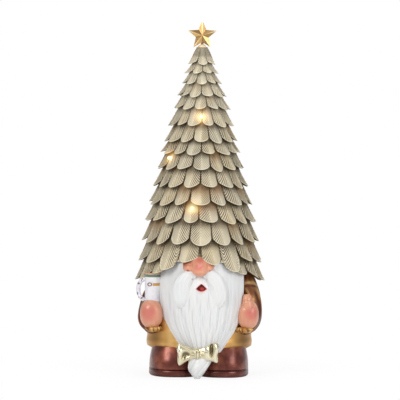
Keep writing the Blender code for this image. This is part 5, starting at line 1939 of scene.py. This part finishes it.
@dataclass
class Boots:
    """Two domed boots that meet on the middle line, with a recess for the battery box below."""

    x: float = 26.2
    y: float = -8.5
    half_width: float = 30.0
    half_length: float = 47.5
    squareness: float = 2.6

    def reach(self, angle: np.ndarray, wide: np.ndarray, long: np.ndarray, offset: np.ndarray) -> np.ndarray:
        """Distance from the middle to the outline of the two boots, found by halving.

        A point is inside while |(x - offset) / wide|^n + |y / long|^n is below 1 for either boot.

        Args:
            angle: Directions from the middle.
            wide: Half width of a boot at each level.
            long: Half length at each level.
            offset: Sideways place of a boot at each level.

        Returns:
            The distance for each level and direction.
        """
        low = np.zeros((len(wide), len(angle)))
        high = low + 90.0
        power = self.squareness
        for _ in range(32):
            middle = (low + high) / 2
            x, y = np.abs(middle * np.sin(angle)), np.abs(middle * np.cos(angle))
            inside = np.abs((x - offset) / wide) ** power + (y / long) ** power < 1
            low, high = np.where(inside, middle, low), np.where(inside, high, middle)
        return low

    def recess(self) -> tuple[float, float, float, float]:
        """Edges of the recess in millimetres: those of the battery box with a little room."""
        low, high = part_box("battery_box")
        return low.x / MM - 0.3, low.y / MM - 0.3, high.x / MM + 0.3, high.y / MM + 0.3

    def surface(self) -> Surface:
        """Rings from the recess's ceiling, down its walls, out to the soles and up the domes.

        Each ring of the outside is the outline of both boots, set in as the profile says at its
        level. The recess is the box's rectangle, seen from the middle in each direction.

        Returns:
            The closed surface.
        """
        profile = (
            (0.0, 1.2), (0.5, 0.5), (1.4, 0.0), (4.0, -0.1), (6.3, 0.0), (7.0, 0.2),
            (7.3, 0.8), (7.8, 1.0), (8.3, 0.8), (8.8, 0.25), (12.0, 0.3), (15.0, 0.5),
            (18.0, 0.8), (21.0, 1.3), (24.5, 2.1), (27.5, 2.9), (30.4, 3.7), (33.4, 4.5),
        )
        levels, inset = np.array(profile).T
        wide = (self.half_width - inset)[:, None]
        long = (self.half_length - inset * 1.75)[:, None]
        offset = (self.x + inset * 0.2)[:, None]
        angle = np.linspace(-math.pi, math.pi, 240, endpoint=False)
        outline = self.reach(angle, wide, long, offset)
        middle_y = AXIS_MM + self.y
        low_x, low_y, high_x, high_y = self.recess()
        sin, cos, least = np.sin(angle), -np.cos(angle), 1e-9
        to_side = np.where(sin > 0, high_x, low_x) / np.where(np.abs(sin) < least, least, sin)
        ends = np.where(cos > 0, high_y - middle_y, low_y - middle_y)
        to_end = ends / np.where(np.abs(cos) < least, least, cos)
        hole = np.minimum(np.abs(to_side), np.abs(to_end))
        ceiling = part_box("battery_box")[0].z / MM + 1.9
        r = np.concatenate([hole[None], hole[None], outline])
        z = np.concatenate([[ceiling, 0.0], levels])[:, None] + 0 * r
        grid = np.stack([r * sin, middle_y + r * cos, z], axis=-1) * MM
        # painted shade in the sole groove, the recess, and the seam where the boots meet
        crease = np.concatenate([[1.0, 0.2], 0.1 + 0.9 * bump(7.8, 0.45, levels)])
        marks = painted_shade_marks(crease[:, None] + 0.9 * bump(0.0, 0.055, np.sin(angle))[None, :], grid)
        return Surface("boots", grid, marks=marks, crease=40.0)

    def build(self) -> None:
        """Make the boots."""
        finish_casting(self.surface().build(), BootPaint().material())


class Fittings:
    """Pieces of the frame that keep their own shape and get their finish."""

    def build(self) -> None:
        """Dress each node."""
        black = Plain("black_plastic", paint(30, 30, 32), roughness=0.5)
        steel = Plain(
            "plated_steel", paint(190, 190, 192), roughness=0.28, metallic=1.0, grain=1.2, relief=0.01
        )
        jacket = Plain("cell_jacket", paint(58, 62, 70), roughness=0.35, metallic=0.3)
        copper = Plain("wire_copper", paint(186, 116, 74), roughness=0.35, metallic=0.9)
        finishes = {
            black: ("battery_box", "battery_door", "switch_slider"),
            steel: (
                "door_screw", "contact_spring_1", "contact_spring_2", "contact_plate_1", "contact_plate_2",
                "contact_bridge", "switch_housing",
            ),
            jacket: ("cell_1", "cell_2"),
            copper: ("led_harness",),
            StarGold(): ("star_topper",),
            LampLens(): LAMPS,
        }
        for finish, names in finishes.items():
            material = finish.material()
            for name in names:
                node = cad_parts[name]
                node.data.materials.clear()
                node.data.materials.append(material)
                LOG.info("%s dressed", name)


@dataclass
class Studio:
    """Floor, soft lamps, pale surroundings and the photograph's camera."""

    camera_distance: float = 4.4
    camera_rise: float = math.radians(3.4)
    camera_roll: float = math.radians(0.62)
    aim: Vector = Vector((-0.0006, 0.0, 0.1966))
    lit_point: Vector = Vector((0.0, 0.0, 0.2))
    pixel: float = 0.001132
    frame_pixels: int = 400
    sensor: float = 36.0
    floor_half: float = 3.0
    floor_z: float = -0.0002

    def camera(self) -> None:
        """Long lens at the photograph's height, aimed at the middle of the picture."""
        data = bpy.data.cameras.new("photo_camera")
        data.sensor_width = self.sensor
        data.lens = self.sensor * self.camera_distance / (self.frame_pixels * self.pixel)
        data.clip_end = 50.0
        camera = bpy.data.objects.new("photo_camera", data)
        bpy.context.scene.collection.objects.link(camera)
        back = Vector((0.0, -math.cos(self.camera_rise), math.sin(self.camera_rise)))
        camera.location = self.aim + back * self.camera_distance
        look = (-back).to_track_quat("-Z", "Y")
        camera.rotation_euler = look.to_euler()
        camera.rotation_euler.rotate_axis("Z", self.camera_roll)
        bpy.context.scene.camera = camera

    def lamp(self, name: str, place: Vector, size: float, power: float, tone: Colour) -> None:
        """One square area lamp that points at the figure's middle.

        Args:
            name: Name of the lamp.
            place: Where it stands, in metres.
            size: Side of the square.
            power: Power in watts.
            tone: Colour of its light.
        """
        data = bpy.data.lights.new(name, "AREA")
        data.shape = "SQUARE"
        data.size = size
        data.energy = power
        data.color = tone
        lamp = bpy.data.objects.new(name, data)
        lamp.location = place
        lamp.rotation_euler = (place - self.lit_point).to_track_quat("Z", "Y").to_euler()
        bpy.context.scene.collection.objects.link(lamp)

    def lights(self) -> None:
        """Large soft lamps left and right of the camera, one above and one behind."""
        self.lamp("key_lamp", Vector((-0.9, -1.3, 1.1)), size=0.8, power=15.5, tone=(1.0, 0.99, 0.97))
        self.lamp("fill_lamp", Vector((1.1, -1.1, 0.7)), size=0.8, power=9.5, tone=(0.98, 0.99, 1.0))
        self.lamp("top_lamp", Vector((0.0, 0.3, 1.7)), size=0.9, power=8.0, tone=(1.0, 1.0, 1.0))
        self.lamp("back_lamp", Vector((0.3, 1.5, 0.9)), size=1.1, power=7.0, tone=(1.0, 1.0, 1.0))

    def surroundings(self) -> None:
        """World that is white to the camera and soft grey-white to everything else."""
        world = bpy.data.worlds.new("pale_room")
        world.use_nodes = True
        tree = world.node_tree
        tree.nodes.clear()
        hub = Wire(tree, 0.0)
        path = hub.node("ShaderNodeLightPath", {})
        seen = Wire(tree, path.outputs["Is Camera Ray"])
        soft = hub.node("ShaderNodeBackground", {}, (0.97, 0.98, 1.0, 1.0), 0.42).outputs[0]
        white = hub.node("ShaderNodeBackground", {}, (1.0, 1.0, 1.0, 1.0), 1.0).outputs[0]
        both = hub.node("ShaderNodeMixShader", {}, seen, Wire(tree, soft), Wire(tree, white)).outputs[0]
        hub.node("ShaderNodeOutputWorld", {}, Wire(tree, both))
        bpy.context.scene.world = world

    def floor(self) -> None:
        """Pale floor that looks white to the camera apart from the figure's soft shadow."""
        half, height = self.floor_half, self.floor_z
        mesh = bpy.data.meshes.new("floor")
        corners = [(x, y, height) for x, y in ((-half, -half), (half, -half), (half, half), (-half, half))]
        mesh.from_pydata(corners, [], [(0, 1, 2, 3)])
        floor = bpy.data.objects.new("floor", mesh)
        bpy.context.scene.collection.objects.link(floor)
        recipe = Recipe("floor_white", 0.9)
        recipe.feed("Base Color", recipe.colour((0.92, 0.92, 0.92)))
        tree = recipe.tree
        path = recipe.hub.node("ShaderNodeLightPath", {})
        seen = Wire(tree, path.outputs["Is Camera Ray"])
        white = recipe.hub.node("ShaderNodeEmission", {}, (1.0, 1.0, 1.0, 1.0), 1.0).outputs[0]
        far = recipe.out("ShaderNodeVectorMath", {"operation": "LENGTH"}, "Value", recipe.place)
        cover = far.ramp(0.09, 0.26) * 0.12 + 0.88
        matt = Wire(tree, recipe.shader.outputs[0])
        blended = recipe.hub.node("ShaderNodeMixShader", {}, cover, matt, Wire(tree, white))
        shown = recipe.hub.node("ShaderNodeMixShader", {}, seen, matt, Wire(tree, blended.outputs[0]))
        tree.links.new(shown.outputs[0], tree.nodes["Material Output"].inputs["Surface"])
        mesh.materials.append(recipe.material)

    def build(self) -> None:
        """Set up the picture."""
        bpy.context.scene.view_settings.view_transform = "Standard"
        self.camera()
        self.lights()
        self.surroundings()
        self.floor()


def main() -> None:
    """Build every sub-assembly in order, then the studio."""
    logging.basicConfig(level=logging.INFO, format="%(name)s: %(message)s")
    Studio().build()
    LeafHat().build()
    Face().build()
    Beard().build()
    Coat().build()
    Hands().build()
    Mug().build()
    Bow().build()
    Boots().build()
    Fittings().build()


if __name__ == "__main__":
    main()
